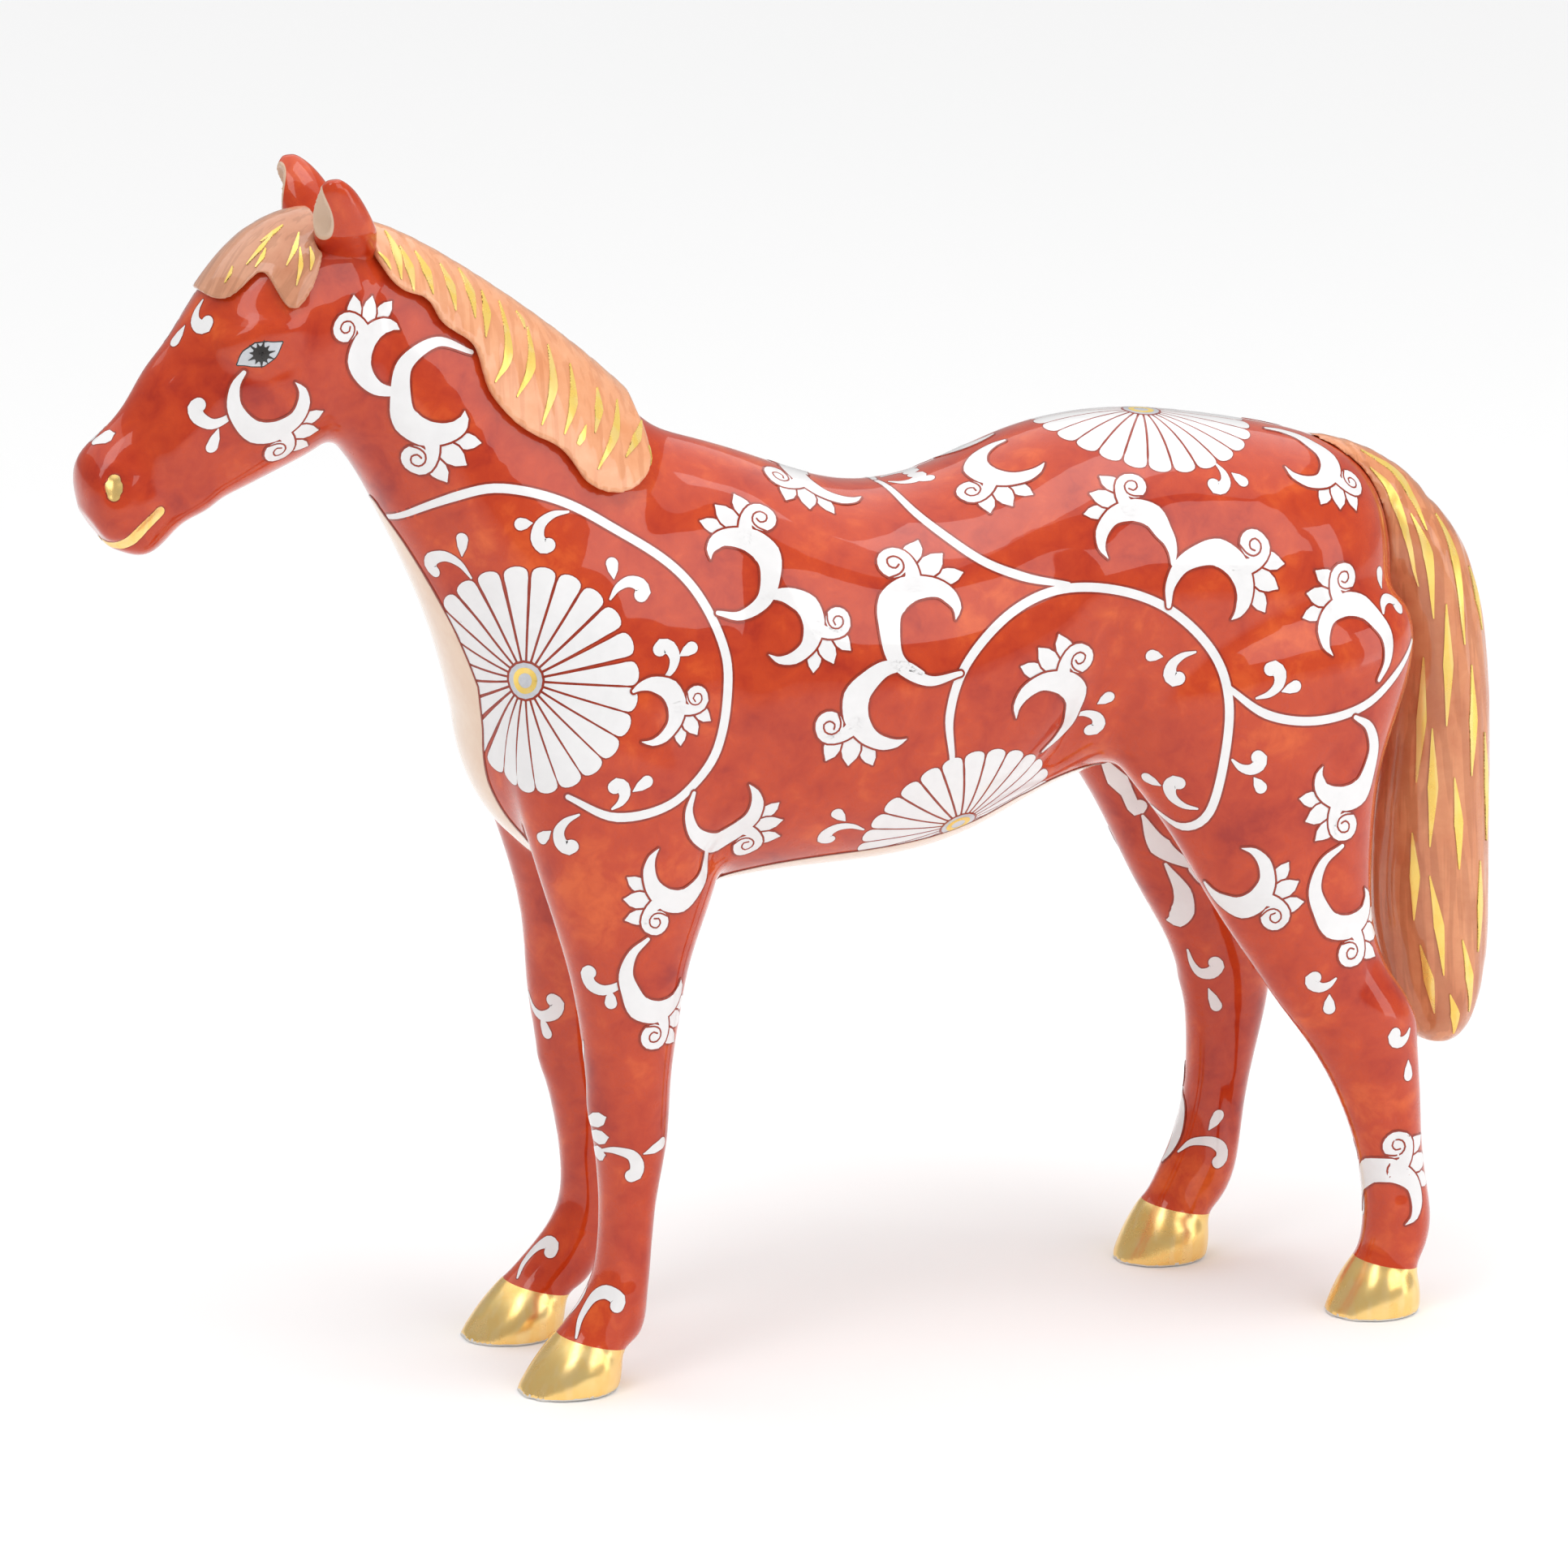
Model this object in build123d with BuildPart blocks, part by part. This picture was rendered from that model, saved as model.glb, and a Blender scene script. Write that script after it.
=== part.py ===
"""Standing horse figurine in slip-cast porcelain, as the castings that are luted together before firing.

The horse faces -X and stands on Z = 0 with its left side towards -Y. All sizes are in millimetres.
The outer body is lofted through stations, cored to the casting's wall, and cut at the luting planes.
"""

import os
from math import cos, pi, sin

from build123d import *

# Driving dimensions
DATUM_SHIFT = -2.5  # the stations' zero lies this far from the middle of the figure's length
WALL = 3.2  # thickness of the slip-cast wall
MANE_RELIEF = 1.4  # how far the mane stands off the neck
FORELOCK_RELIEF = 0.9  # how far the forelock stands off the forehead
LEG_SEAM = 54.0  # height at which the leg castings are luted on
VENT_RADIUS = 1.5  # firing vent in the belly, between the hind legs
VENT_X = 26.0
VENT_REACH = 8 * WALL  # long enough to pass right through the belly wall
RING_POINTS = 12  # points round each section


def ring(front, back, half_width, side=0.0, taper=0.0, grow=0.0):
    """One closed egg-shaped section, from its outline points in side view.

    front and back are (x, z); side moves it off the middle plane; taper narrows it towards front.
    grow moves the whole outline outwards, or inwards when it is negative.
    """
    (fx, fz), (bx, bz) = front, back
    length = ((fx - bx) ** 2 + (fz - bz) ** 2) ** 0.5
    ux, uz = (fx - bx) / length, (fz - bz) / length
    middle = ((fx + bx) / 2 + DATUM_SHIFT, side, (fz + bz) / 2)
    plane = Plane(origin=middle, x_dir=(0, 1, 0), z_dir=(uz, 0, -ux))
    reach, breadth = length / 2 + grow, half_width + grow
    angles = [2 * pi * n / RING_POINTS for n in range(RING_POINTS)]
    points = [(breadth * cos(a) * (1 - taper * sin(a)), reach * sin(a)) for a in angles]
    with BuildSketch(plane) as face:
        with BuildLine():
            Spline(*points, periodic=True)
        make_face()
    return face.sketch


def mass(centre, reach, lean=0.0):
    """A muscle as an ellipsoid: its centre, its three half sizes, and how far it leans about Y."""
    x, y, z = centre
    place = Plane(origin=(x + DATUM_SHIFT, y, z)) * Rotation(0, lean, 0)
    return place * scale(Sphere(1), by=reach)


def outline(*points):
    """Points in side view, moved from the stations' zero to the part's origin."""
    return [(x + DATUM_SHIFT, z) for x, z in points]


def cut_plane(upper, lower):
    """The luting plane through two side-view points, facing the horse's head."""
    (ux, uz), (lx, lz) = upper, lower
    return Plane(
        origin=((ux + lx) / 2 + DATUM_SHIFT, 0, (uz + lz) / 2),
        x_dir=(0, 1, 0),
        z_dir=(-(uz - lz), 0, ux - lx),
    )


# Stations from rump to poll: crest, underline, half width, narrowing towards the crest
SPINE = [
    ((77.4, 101.0), (78.2, 90.5), 4.5, 0.0),
    ((75.2, 105.6), (77.0, 84.0), 9.0, 0.0),
    ((71.0, 108.6), (74.0, 79.0), 13.0, 0.0),
    ((64.0, 111.0), (68.0, 75.0), 16.5, 0.0),
    ((54.0, 113.1), (57.0, 72.0), 18.6, 0.0),
    ((43.0, 114.3), (44.0, 71.0), 19.2, 0.0),
    ((31.0, 112.9), (32.0, 67.9), 19.3, 0.0),
    ((20.0, 109.0), (20.0, 62.7), 20.0, 0.0),
    ((8.0, 107.9), (6.0, 60.8), 20.2, 0.0),
    ((-4.0, 111.8), (-8.0, 60.1), 19.4, 0.06),
    ((-12.0, 114.6), (-24.0, 60.0), 18.2, 0.12),
    ((-17.0, 116.6), (-37.0, 70.0), 16.8, 0.18),
    ((-22.0, 121.1), (-42.5, 86.3), 14.0, 0.22),
    ((-29.6, 127.7), (-47.0, 99.5), 11.4, 0.25),
    ((-37.2, 133.4), (-51.3, 108.4), 9.6, 0.22),
    ((-46.1, 139.2), (-55.1, 115.1), 8.6, 0.18),
    ((-53.0, 142.3), (-58.0, 118.6), 8.0, 0.1),
]
NECK_STATIONS = SPINE[9:]
CORED = SPINE[2:-1]

# Stations from poll to lips: face line, jaw line, half width, narrowing towards the face
HEAD = [
    ((-52.5, 141.6), (-53.0, 123.0), 7.0, 0.0),
    ((-58.0, 144.6), (-56.0, 119.6), 8.4, 0.0),
    ((-64.2, 143.7), (-59.8, 116.3), 9.0, -0.02),
    ((-69.8, 139.8), (-64.0, 114.3), 8.8, -0.06),
    ((-73.9, 134.7), (-67.8, 112.6), 7.6, -0.04),
    ((-77.8, 129.4), (-71.2, 111.0), 6.3, 0.0),
    ((-81.7, 123.9), (-74.4, 109.2), 5.5, 0.04),
    ((-85.5, 119.8), (-77.1, 107.3), 5.3, 0.04),
    ((-87.9, 117.1), (-79.3, 105.6), 5.6, 0.0),
    ((-88.3, 114.0), (-81.8, 105.4), 5.0, 0.0),
    ((-88.0, 111.4), (-84.6, 106.4), 3.2, 0.0),
]
HEAD_CORED = SPINE[-2:] + HEAD[2:6]
BROW_STATIONS = HEAD[1:7]
BREAST = ((-27.0, 0.0, 84.0), (14.6, 17.4, 20.0))  # centre and half sizes of the breast muscle

# Stations down each leg: front edge, back edge, half width, distance from the middle plane
SHOULDER = [
    ((-25.0, 106.0), (-15.0, 104.0), 4.0, 6.5),
    ((-34.0, 96.0), (-11.5, 93.0), 7.4, 9.2),
    ((-39.2, 84.5), (-10.0, 82.0), 8.4, 10.0),
]
FORELEG_LEFT = SHOULDER + [
    ((-37.0, 72.0), (-10.9, 71.0), 8.0, 10.6),
    ((-34.0, 61.5), (-13.3, 61.0), 7.0, 11.0),
    ((-31.4, 52.6), (-16.3, 52.6), 6.0, 11.2),
    ((-30.1, 46.0), (-17.7, 46.0), 5.3, 11.4),
    ((-29.2, 38.0), (-18.9, 38.0), 4.8, 11.6),
    ((-28.4, 31.0), (-19.4, 31.0), 4.5, 11.6),
    ((-27.8, 23.0), (-20.8, 23.0), 3.7, 11.6),
    ((-28.1, 17.5), (-21.4, 17.0), 3.5, 11.6),
    ((-29.2, 12.8), (-22.0, 10.8), 3.9, 11.6),
    ((-31.7, 9.0), (-22.8, 6.8), 4.0, 11.6),
    ((-33.5, 6.9), (-25.4, 4.9), 4.3, 11.6),
]
FORELEG_RIGHT = SHOULDER + [
    ((-35.8, 72.0), (-10.0, 71.0), 8.0, 10.4),
    ((-32.0, 61.5), (-11.6, 61.0), 7.0, 11.0),
    ((-30.0, 52.6), (-14.4, 52.6), 6.0, 11.2),
    ((-29.5, 46.0), (-15.8, 46.0), 5.3, 11.4),
    ((-28.3, 38.0), (-17.0, 38.0), 4.8, 11.6),
    ((-26.7, 31.0), (-17.4, 31.0), 4.5, 11.6),
    ((-25.3, 23.0), (-18.4, 23.0), 3.7, 11.6),
    ((-25.3, 17.5), (-18.6, 17.0), 3.5, 11.6),
    ((-27.2, 13.0), (-20.0, 10.8), 3.9, 11.6),
    ((-30.6, 9.2), (-21.8, 6.9), 4.0, 11.6),
    ((-33.0, 6.9), (-25.0, 4.9), 4.3, 11.6),
]
HAUNCH = [
    ((46.0, 98.0), (70.0, 98.0), 4.0, 7.5),
    ((38.5, 88.0), (77.4, 90.0), 8.8, 10.0),
    ((35.8, 81.0), (78.4, 84.0), 9.8, 10.8),
]
HIND_LEFT = HAUNCH + [
    ((38.0, 74.5), (76.4, 77.0), 9.2, 11.4),
    ((43.8, 66.5), (73.5, 69.0), 8.3, 12.4),
    ((49.6, 57.0), (72.2, 59.0), 7.0, 13.4),
    ((54.5, 49.0), (72.2, 51.0), 6.0, 14.1),
    ((58.8, 42.5), (74.9, 43.5), 5.2, 14.6),
    ((63.1, 36.5), (77.8, 37.5), 4.9, 15.0),
    ((66.6, 31.0), (78.5, 31.5), 4.5, 15.0),
    ((69.7, 24.0), (78.9, 24.3), 4.1, 15.0),
    ((71.5, 17.0), (79.7, 17.0), 3.9, 15.0),
    ((71.8, 11.5), (80.3, 10.8), 4.2, 15.0),
    ((71.3, 8.4), (79.3, 7.2), 4.1, 15.0),
    ((70.5, 6.8), (78.4, 5.4), 4.3, 15.0),
]
HIND_RIGHT = HAUNCH + [
    ((37.6, 74.5), (75.8, 77.0), 9.2, 11.4),
    ((43.0, 66.5), (72.0, 69.0), 8.3, 12.4),
    ((48.4, 57.5), (69.2, 59.5), 7.0, 13.4),
    ((52.9, 49.0), (68.2, 50.5), 6.0, 14.1),
    ((56.9, 42.0), (69.7, 42.5), 5.2, 14.6),
    ((59.1, 36.0), (70.8, 36.5), 4.9, 15.0),
    ((59.9, 30.0), (69.7, 30.0), 4.5, 15.0),
    ((59.9, 23.5), (68.2, 23.5), 4.1, 15.0),
    ((58.8, 17.4), (67.2, 16.7), 3.9, 15.0),
    ((56.8, 12.4), (66.2, 10.8), 4.2, 15.0),
    ((55.2, 9.2), (64.4, 7.2), 4.1, 15.0),
    ((53.8, 7.4), (62.5, 5.4), 4.3, 15.0),
]

# Hooves: toe and heel on the ground, half width of the sole
HOOF_GROUND = {
    "fore": ((-38.8, 0.0), (-25.5, 0.0), 5.8),
    "hind_back": ((66.5, 0.0), (79.3, 0.0), 5.8),
    "hind_forward": ((49.8, 0.0), (62.7, 0.0), 5.8),
}
HOOF_FLARE = 0.35  # how far up the hoof wall its bulge lies, as a share of the height
SOLE_TUCK = 0.3  # how far the sole draws in below the bulge

# Tail stations from dock to tip: outer edge, inner edge, half width, distance from the middle plane
TAIL = [
    ((80.2, 104.3), (75.5, 94.0), 5.2, 0.0),
    ((90.2, 93.0), (79.4, 85.6), 6.4, -0.2),
    ((92.6, 83.0), (79.8, 77.0), 6.7, -0.5),
    ((93.3, 72.0), (79.0, 68.0), 6.9, -0.9),
    ((93.3, 59.0), (78.0, 57.0), 7.0, -1.3),
    ((93.3, 48.0), (78.2, 47.0), 6.9, -1.7),
    ((92.6, 39.0), (79.8, 39.2), 6.4, -2.0),
    ((90.6, 32.8), (81.8, 33.8), 4.8, -2.2),
    ((88.4, 30.6), (84.4, 31.0), 2.4, -2.2),
]
DOCK = ((73.9, 0.0, 102.0), (12.8, 5.3, 6.0))  # centre and half sizes of the root of the tail
DOCK_LEAN = 25.0

# Ear stations from base to tip: front edge, back edge, half width, distance from the middle plane
EAR = [
    ((-59.7, 140.4), (-52.7, 140.2), 2.7, 5.6),
    ((-60.6, 143.6), (-53.2, 143.8), 2.7, 6.6),
    ((-61.0, 146.6), (-55.0, 147.0), 2.3, 7.8),
    ((-60.6, 148.9), (-56.8, 149.2), 1.5, 8.8),
    ((-59.7, 150.1), (-58.3, 150.2), 0.6, 9.3),
]
EAR_BOWL = (-62.0, 8.4, 145.9)  # centre of the scoop in the ear's front
EAR_BOWL_REACH = (3.0, 1.8, 3.7)

# Lower edge of the mane in side view, from poll to withers
MANE_EDGE = outline(
    (-54.8, 143.2),
    (-52.3, 139.2),
    (-49.9, 136.1),
    (-46.6, 134.5),
    (-45.4, 132.2),
    (-41.7, 129.3),
    (-40.5, 124.9),
    (-38.0, 120.8),
    (-35.5, 118.7),
    (-31.4, 116.2),
    (-28.9, 112.6),
    (-25.9, 111.1),
    (-23.3, 111.2),
    (-20.3, 113.2),
    (-19.6, 115.7),
    (-20.2, 119.2),
)
MANE_OVER_CREST = outline((-20.5, 130.0), (-40.0, 150.0), (-55.0, 150.0))
MANE_SPAN = (-30.0, 3.5)  # from outside the left of the neck to just over the crest

# The two locks of the forelock in side view: the one on the left, then the one on the forehead
FORELOCK_EDGE = outline(
    (-59.6, 146.0),
    (-59.5, 141.7),
    (-60.3, 139.3),
    (-61.5, 137.2),
    (-64.0, 135.1),
    (-65.6, 137.0),
    (-66.8, 139.2),
    (-69.4, 137.4),
    (-72.7, 136.2),
)
FORELOCK_OVER_BROW = outline((-76.0, 138.0), (-70.0, 148.0), (-60.0, 150.0))
FORELOCK_SPAN = (-12.0, 5.0)


def limb(stations, hand, grow=0.0):
    """A leg as a loft through its stations; hand is -1 on the left and 1 on the right."""
    faces = [ring(f, b, w, side * hand, grow=grow) for f, b, w, side in stations]
    with BuildPart() as made:
        loft(faces)
    return made.part


def spine_loft(stations, grow=0.0):
    """The trunk and neck as one loft."""
    faces = [ring(f, b, w, taper=t, grow=grow) for f, b, w, t in stations]
    with BuildPart() as made:
        loft(faces)
    return made.part


def hoof(stations, ground, hand):
    """A hoof from the leg's coronet down to its flat sole."""
    top_front, top_back, top_width, side = stations[-1]
    toe, heel, sole_width = ground
    share = HOOF_FLARE
    low_front = tuple(g + share * (t - g) for t, g in zip(top_front, toe))
    low_back = tuple(g + share * (t - g) for t, g in zip(top_back, heel))
    with BuildPart() as made:
        loft(
            [
                ring(top_front, top_back, top_width, side * hand),
                ring(low_front, low_back, sole_width, side * hand),
                ring(toe, heel, sole_width, side * hand, grow=-SOLE_TUCK),
            ]
        )
    return made.part


def relief(stations, stand_off, edge, over, span):
    """Modelled hair: the grown body inside an edge drawn in side view, across a span of Y."""
    with BuildPart() as made:
        add(spine_loft(stations, grow=stand_off))
        with BuildSketch(Plane.XZ.offset(-span[1])):
            with BuildLine():
                Spline(*edge)
                Polyline(edge[-1], *over, edge[0])
            make_face()
        extrude(amount=span[1] - span[0], mode=Mode.INTERSECT)
    return made.part


breast_form = mass(*BREAST)
dock_form = mass(*DOCK, DOCK_LEAN)
left_bowl = mass((EAR_BOWL[0], -EAR_BOWL[1], EAR_BOWL[2]), EAR_BOWL_REACH)
right_bowl = mass(EAR_BOWL, EAR_BOWL_REACH)

# ---- The whole outer form, before it is cut into castings
with BuildPart() as outer:
    add(spine_loft(SPINE))
    add(spine_loft(HEAD))
    add(breast_form)
    add(limb(FORELEG_LEFT, -1))
    add(limb(FORELEG_RIGHT, 1))
    add(limb(HIND_LEFT, -1))
    add(limb(HIND_RIGHT, 1))

with BuildPart() as core:
    add(spine_loft(CORED, grow=-WALL))
    add(spine_loft(HEAD_CORED, grow=-WALL))

NECK_SEAM = cut_plane((-16.0, 117.0), (-41.2, 82.0))
HEAD_SEAM = cut_plane((-52.8, 142.5), (-57.6, 117.8))
LEG_PLANE = Plane.XY.offset(LEG_SEAM)

with BuildPart() as torso:
    add(outer.part)
    add(core.part, mode=Mode.SUBTRACT)
    split(bisect_by=NECK_SEAM, keep=Keep.BOTTOM)
    split(bisect_by=LEG_PLANE, keep=Keep.TOP)
    with Locations((VENT_X, 0, LEG_SEAM + WALL)):
        Cylinder(VENT_RADIUS, VENT_REACH, mode=Mode.SUBTRACT)

with BuildPart() as neck:
    add(outer.part)
    add(core.part, mode=Mode.SUBTRACT)
    split(bisect_by=NECK_SEAM, keep=Keep.TOP)
    split(bisect_by=HEAD_SEAM, keep=Keep.BOTTOM)

with BuildPart() as head:
    add(outer.part)
    add(core.part, mode=Mode.SUBTRACT)
    split(bisect_by=HEAD_SEAM, keep=Keep.TOP)

# ---- Ears, modelled hair and tail, pressed solid and luted on
with BuildPart() as left_ear:
    add(limb(EAR, -1))
    add(left_bowl, mode=Mode.SUBTRACT)
    add(outer.part, mode=Mode.SUBTRACT)

with BuildPart() as right_ear:
    add(limb(EAR, 1))
    add(right_bowl, mode=Mode.SUBTRACT)
    add(outer.part, mode=Mode.SUBTRACT)

with BuildPart() as mane:
    add(relief(NECK_STATIONS, MANE_RELIEF, MANE_EDGE, MANE_OVER_CREST, MANE_SPAN))
    add(outer.part, mode=Mode.SUBTRACT)
    add(left_ear.part, mode=Mode.SUBTRACT)

with BuildPart() as forelock:
    add(relief(BROW_STATIONS, FORELOCK_RELIEF, FORELOCK_EDGE, FORELOCK_OVER_BROW, FORELOCK_SPAN))
    add(outer.part, mode=Mode.SUBTRACT)
    add(left_ear.part, mode=Mode.SUBTRACT)
    add(right_ear.part, mode=Mode.SUBTRACT)

with BuildPart() as tail:
    add(limb(TAIL, 1))
    add(dock_form)
    add(outer.part, mode=Mode.SUBTRACT)

# ---- Legs below the luting plane, and their gilded hooves
with BuildPart() as left_foreleg:
    add(limb(FORELEG_LEFT, -1))
    split(bisect_by=LEG_PLANE, keep=Keep.BOTTOM)

with BuildPart() as right_foreleg:
    add(limb(FORELEG_RIGHT, 1))
    split(bisect_by=LEG_PLANE, keep=Keep.BOTTOM)

with BuildPart() as left_hind_leg:
    add(limb(HIND_LEFT, -1))
    split(bisect_by=LEG_PLANE, keep=Keep.BOTTOM)

with BuildPart() as right_hind_leg:
    add(limb(HIND_RIGHT, 1))
    split(bisect_by=LEG_PLANE, keep=Keep.BOTTOM)

with BuildPart() as left_fore_hoof:
    add(hoof(FORELEG_LEFT, HOOF_GROUND["fore"], -1))

with BuildPart() as right_fore_hoof:
    add(hoof(FORELEG_RIGHT, HOOF_GROUND["fore"], 1))

with BuildPart() as left_hind_hoof:
    add(hoof(HIND_LEFT, HOOF_GROUND["hind_back"], -1))

with BuildPart() as right_hind_hoof:
    add(hoof(HIND_RIGHT, HOOF_GROUND["hind_forward"], 1))

os.makedirs("parts", exist_ok=True)
torso.part.label = "torso"
neck.part.label = "neck"
head.part.label = "head"
left_ear.part.label = "left_ear"
right_ear.part.label = "right_ear"
mane.part.label = "mane"
forelock.part.label = "forelock"
tail.part.label = "tail"
left_foreleg.part.label = "left_foreleg"
right_foreleg.part.label = "right_foreleg"
left_hind_leg.part.label = "left_hind_leg"
right_hind_leg.part.label = "right_hind_leg"
left_fore_hoof.part.label = "left_fore_hoof"
right_fore_hoof.part.label = "right_fore_hoof"
left_hind_hoof.part.label = "left_hind_hoof"
right_hind_hoof.part.label = "right_hind_hoof"
export_step(torso.part, "parts/torso.step")
export_step(neck.part, "parts/neck.step")
export_step(head.part, "parts/head.step")
export_step(left_ear.part, "parts/left_ear.step")
export_step(right_ear.part, "parts/right_ear.step")
export_step(mane.part, "parts/mane.step")
export_step(forelock.part, "parts/forelock.step")
export_step(tail.part, "parts/tail.step")
export_step(left_foreleg.part, "parts/left_foreleg.step")
export_step(right_foreleg.part, "parts/right_foreleg.step")
export_step(left_hind_leg.part, "parts/left_hind_leg.step")
export_step(right_hind_leg.part, "parts/right_hind_leg.step")
export_step(left_fore_hoof.part, "parts/left_fore_hoof.step")
export_step(right_fore_hoof.part, "parts/right_fore_hoof.step")
export_step(left_hind_hoof.part, "parts/left_hind_hoof.step")
export_step(right_hind_hoof.part, "parts/right_hind_hoof.step")
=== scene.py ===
"""A standing horse figurine in glazed porcelain: iron-red ground, white reserved flowers, gilding.

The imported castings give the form. Their copies are luted into one skin, smoothed and modelled as in clay,
and cut again at the same planes, so that each casting stays a piece. The painting is laid on that skin as
thin brush strokes. The horse faces -X with its left side towards -Y; sizes here are in millimetres.
"""

from math import ceil, cos, hypot, pi, radians, sin

import bmesh
import bpy
import numpy as np
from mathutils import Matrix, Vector
from mathutils.bvhtree import BVHTree
from mathutils.interpolate import poly_3d_calc


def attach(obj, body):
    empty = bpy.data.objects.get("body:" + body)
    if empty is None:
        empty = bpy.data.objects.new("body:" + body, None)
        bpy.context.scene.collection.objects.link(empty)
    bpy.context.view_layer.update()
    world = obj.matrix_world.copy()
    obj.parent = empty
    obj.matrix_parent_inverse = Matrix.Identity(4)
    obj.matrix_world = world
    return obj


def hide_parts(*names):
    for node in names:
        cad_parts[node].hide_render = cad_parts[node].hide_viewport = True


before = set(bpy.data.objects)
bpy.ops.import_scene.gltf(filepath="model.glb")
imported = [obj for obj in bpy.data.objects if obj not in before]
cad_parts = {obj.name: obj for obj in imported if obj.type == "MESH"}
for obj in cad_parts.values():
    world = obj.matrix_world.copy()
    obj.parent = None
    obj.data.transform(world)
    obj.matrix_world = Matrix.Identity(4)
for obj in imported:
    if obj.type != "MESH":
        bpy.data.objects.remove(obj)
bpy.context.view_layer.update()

MM = 0.001
LEFT, RIGHT = -1, 1

# Skin
SKIN_VOXEL = 0.52
HAIR_VOXEL = 0.32
FORELOCK_VOXEL = 0.22
EAR_VOXEL = 0.2
CLAY_ROUNDS = 70  # how far the luted joints are filled
HOLLOW = 0.004  # a point this far below its neighbours lies in a hollow
SMOOTH_ROUNDS = 14
EASE, EASE_BACK = 0.6, 0.61  # how far one round of smoothing moves a point, and moves it back
LEG_SEAM = 54.0
VENT = (26.0, 0.0, 67.6)  # the firing vent's plug, which leaves a blind hole in the belly
VENT_PLUG_RADIUS, VENT_PLUG_DEPTH = 2.4, 3.4
SOLE_RIM = 0.45  # height of the bare porcelain at the foot of each hoof
EAR_FOOT = 143.4  # below this height an ear runs down and in, to end inside the head
EAR_FOOT_DEPTH = 2.5  # the depth over which it does so
EAR_SINK = 0.8
EAR_TUCK = 0.3  # how far the foot draws in, as a share of its distance from the middle
EAR_BOWL = (-64.6, 8.4, 145.7)  # middle of the scoop in each ear, and how far its pale lining reaches
EAR_BOWL_REACH = (3.5, 2.3, 4.7)

# Brush
LINE = 0.26  # how far the dark outline shows round a white stroke
SPRIG_LINE = 0.14  # the same round a sprig's strokes
FIRST_COAT = 0.02  # height of the first coat over the skin, and of each further coat
COAT = 0.015
SINK = 0.08  # how deep a stroke's underside lies in the skin
BRUSH_STEP = 0.55
FINE_STEP = 0.4
FINEST_STEP = 0.3
STRIDE = 1.6  # one step of a drawing's walk over the skin
SLIM, BROAD = 0.5, 1.6  # half widths below which a stroke has two and four faces across
BRISTLE = 0.7  # width of one face of a broader stroke's half

# ---------------------------------------------------------------- meshes


def select_only(piece):
    bpy.ops.object.select_all(action="DESELECT")
    piece.hide_set(False)
    piece.select_set(True)
    bpy.context.view_layer.objects.active = piece


def casting_copy(name, *nodes):
    """One new mesh from copies of these castings, with their corners merged."""
    bpy.ops.object.select_all(action="DESELECT")
    copies = []
    for node in nodes:
        copy = bpy.data.objects.new(name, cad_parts[node].data.copy())
        bpy.context.scene.collection.objects.link(copy)
        copy.select_set(True)
        copies.append(copy)
    bpy.context.view_layer.objects.active = copies[0]
    if len(copies) > 1:
        bpy.ops.object.join()
    piece = copies[0]
    piece.name = name
    piece.data.name = name
    piece.data.materials.clear()
    bpy.ops.object.mode_set(mode="EDIT")
    bpy.ops.mesh.select_all(action="SELECT")
    bpy.ops.mesh.remove_doubles(threshold=0.002 * MM)
    bpy.ops.object.mode_set(mode="OBJECT")
    return piece


def apply_modifier(piece, kind, **settings):
    select_only(piece)
    modifier = piece.modifiers.new(kind.lower(), kind)
    for setting, value in settings.items():
        setattr(modifier, setting, value)
    bpy.ops.object.modifier_apply(modifier=modifier.name)


def keep_outer_shell(piece):
    """Deletes what lies loose inside the largest shell, such as the casting's hollow."""
    bm = bmesh.new()
    bm.from_mesh(piece.data)
    left = set(bm.verts)
    shells = []
    while left:
        seed = left.pop()
        shell, rim = {seed}, [seed]
        while rim:
            vert = rim.pop()
            for edge in vert.link_edges:
                other = edge.other_vert(vert)
                if other not in shell:
                    shell.add(other)
                    rim.append(other)
        left -= shell
        shells.append(shell)
    largest = max(shells, key=len)
    bmesh.ops.delete(bm, geom=[v for s in shells if s is not largest for v in s], context="VERTS")
    bm.to_mesh(piece.data)
    bm.free()


def read_points(mesh):
    points = np.empty(len(mesh.vertices) * 3)
    mesh.vertices.foreach_get("co", points)
    return points.reshape(-1, 3) / MM


def write_points(mesh, points):
    mesh.vertices.foreach_set("co", (points * MM).ravel())
    mesh.update()


def read_normals(mesh):
    normals = np.empty(len(mesh.vertices) * 3)
    mesh.vertex_normals.foreach_get("vector", normals)
    return normals.reshape(-1, 3)


class Neighbours:
    """The mean of each point's neighbours along the mesh's edges."""

    def __init__(self, mesh):
        pairs = np.empty(len(mesh.edges) * 2, np.int64)
        mesh.edges.foreach_get("vertices", pairs)
        a, b = pairs.reshape(-1, 2).T
        self.here = np.concatenate([a, b])
        self.there = np.concatenate([b, a])
        self.count = np.maximum(np.bincount(self.here, minlength=len(mesh.vertices)), 1)

    def mean(self, points):
        total = [np.bincount(self.here, points[self.there, k], len(self.count)) for k in range(3)]
        return np.stack(total, 1) / self.count[:, None]


def smooth_clay(piece, fill_rounds, smooth_rounds):
    """Fills the hollow joints as slip does, then smooths all over without shrinking."""
    mesh = piece.data
    around = Neighbours(mesh)
    points = read_points(mesh)
    for _ in range(fill_rounds):
        normals = read_normals(mesh)
        pull = around.mean(points) - points
        outward = (pull * normals).sum(1, keepdims=True)
        points = points + EASE * pull * (outward > HOLLOW)
        write_points(mesh, points)
    for _ in range(smooth_rounds):
        points = points + EASE * (around.mean(points) - points)
        points = points - EASE_BACK * (around.mean(points) - points)
    points = points + 0.5 * (around.mean(points) - points)
    write_points(mesh, points)


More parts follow.
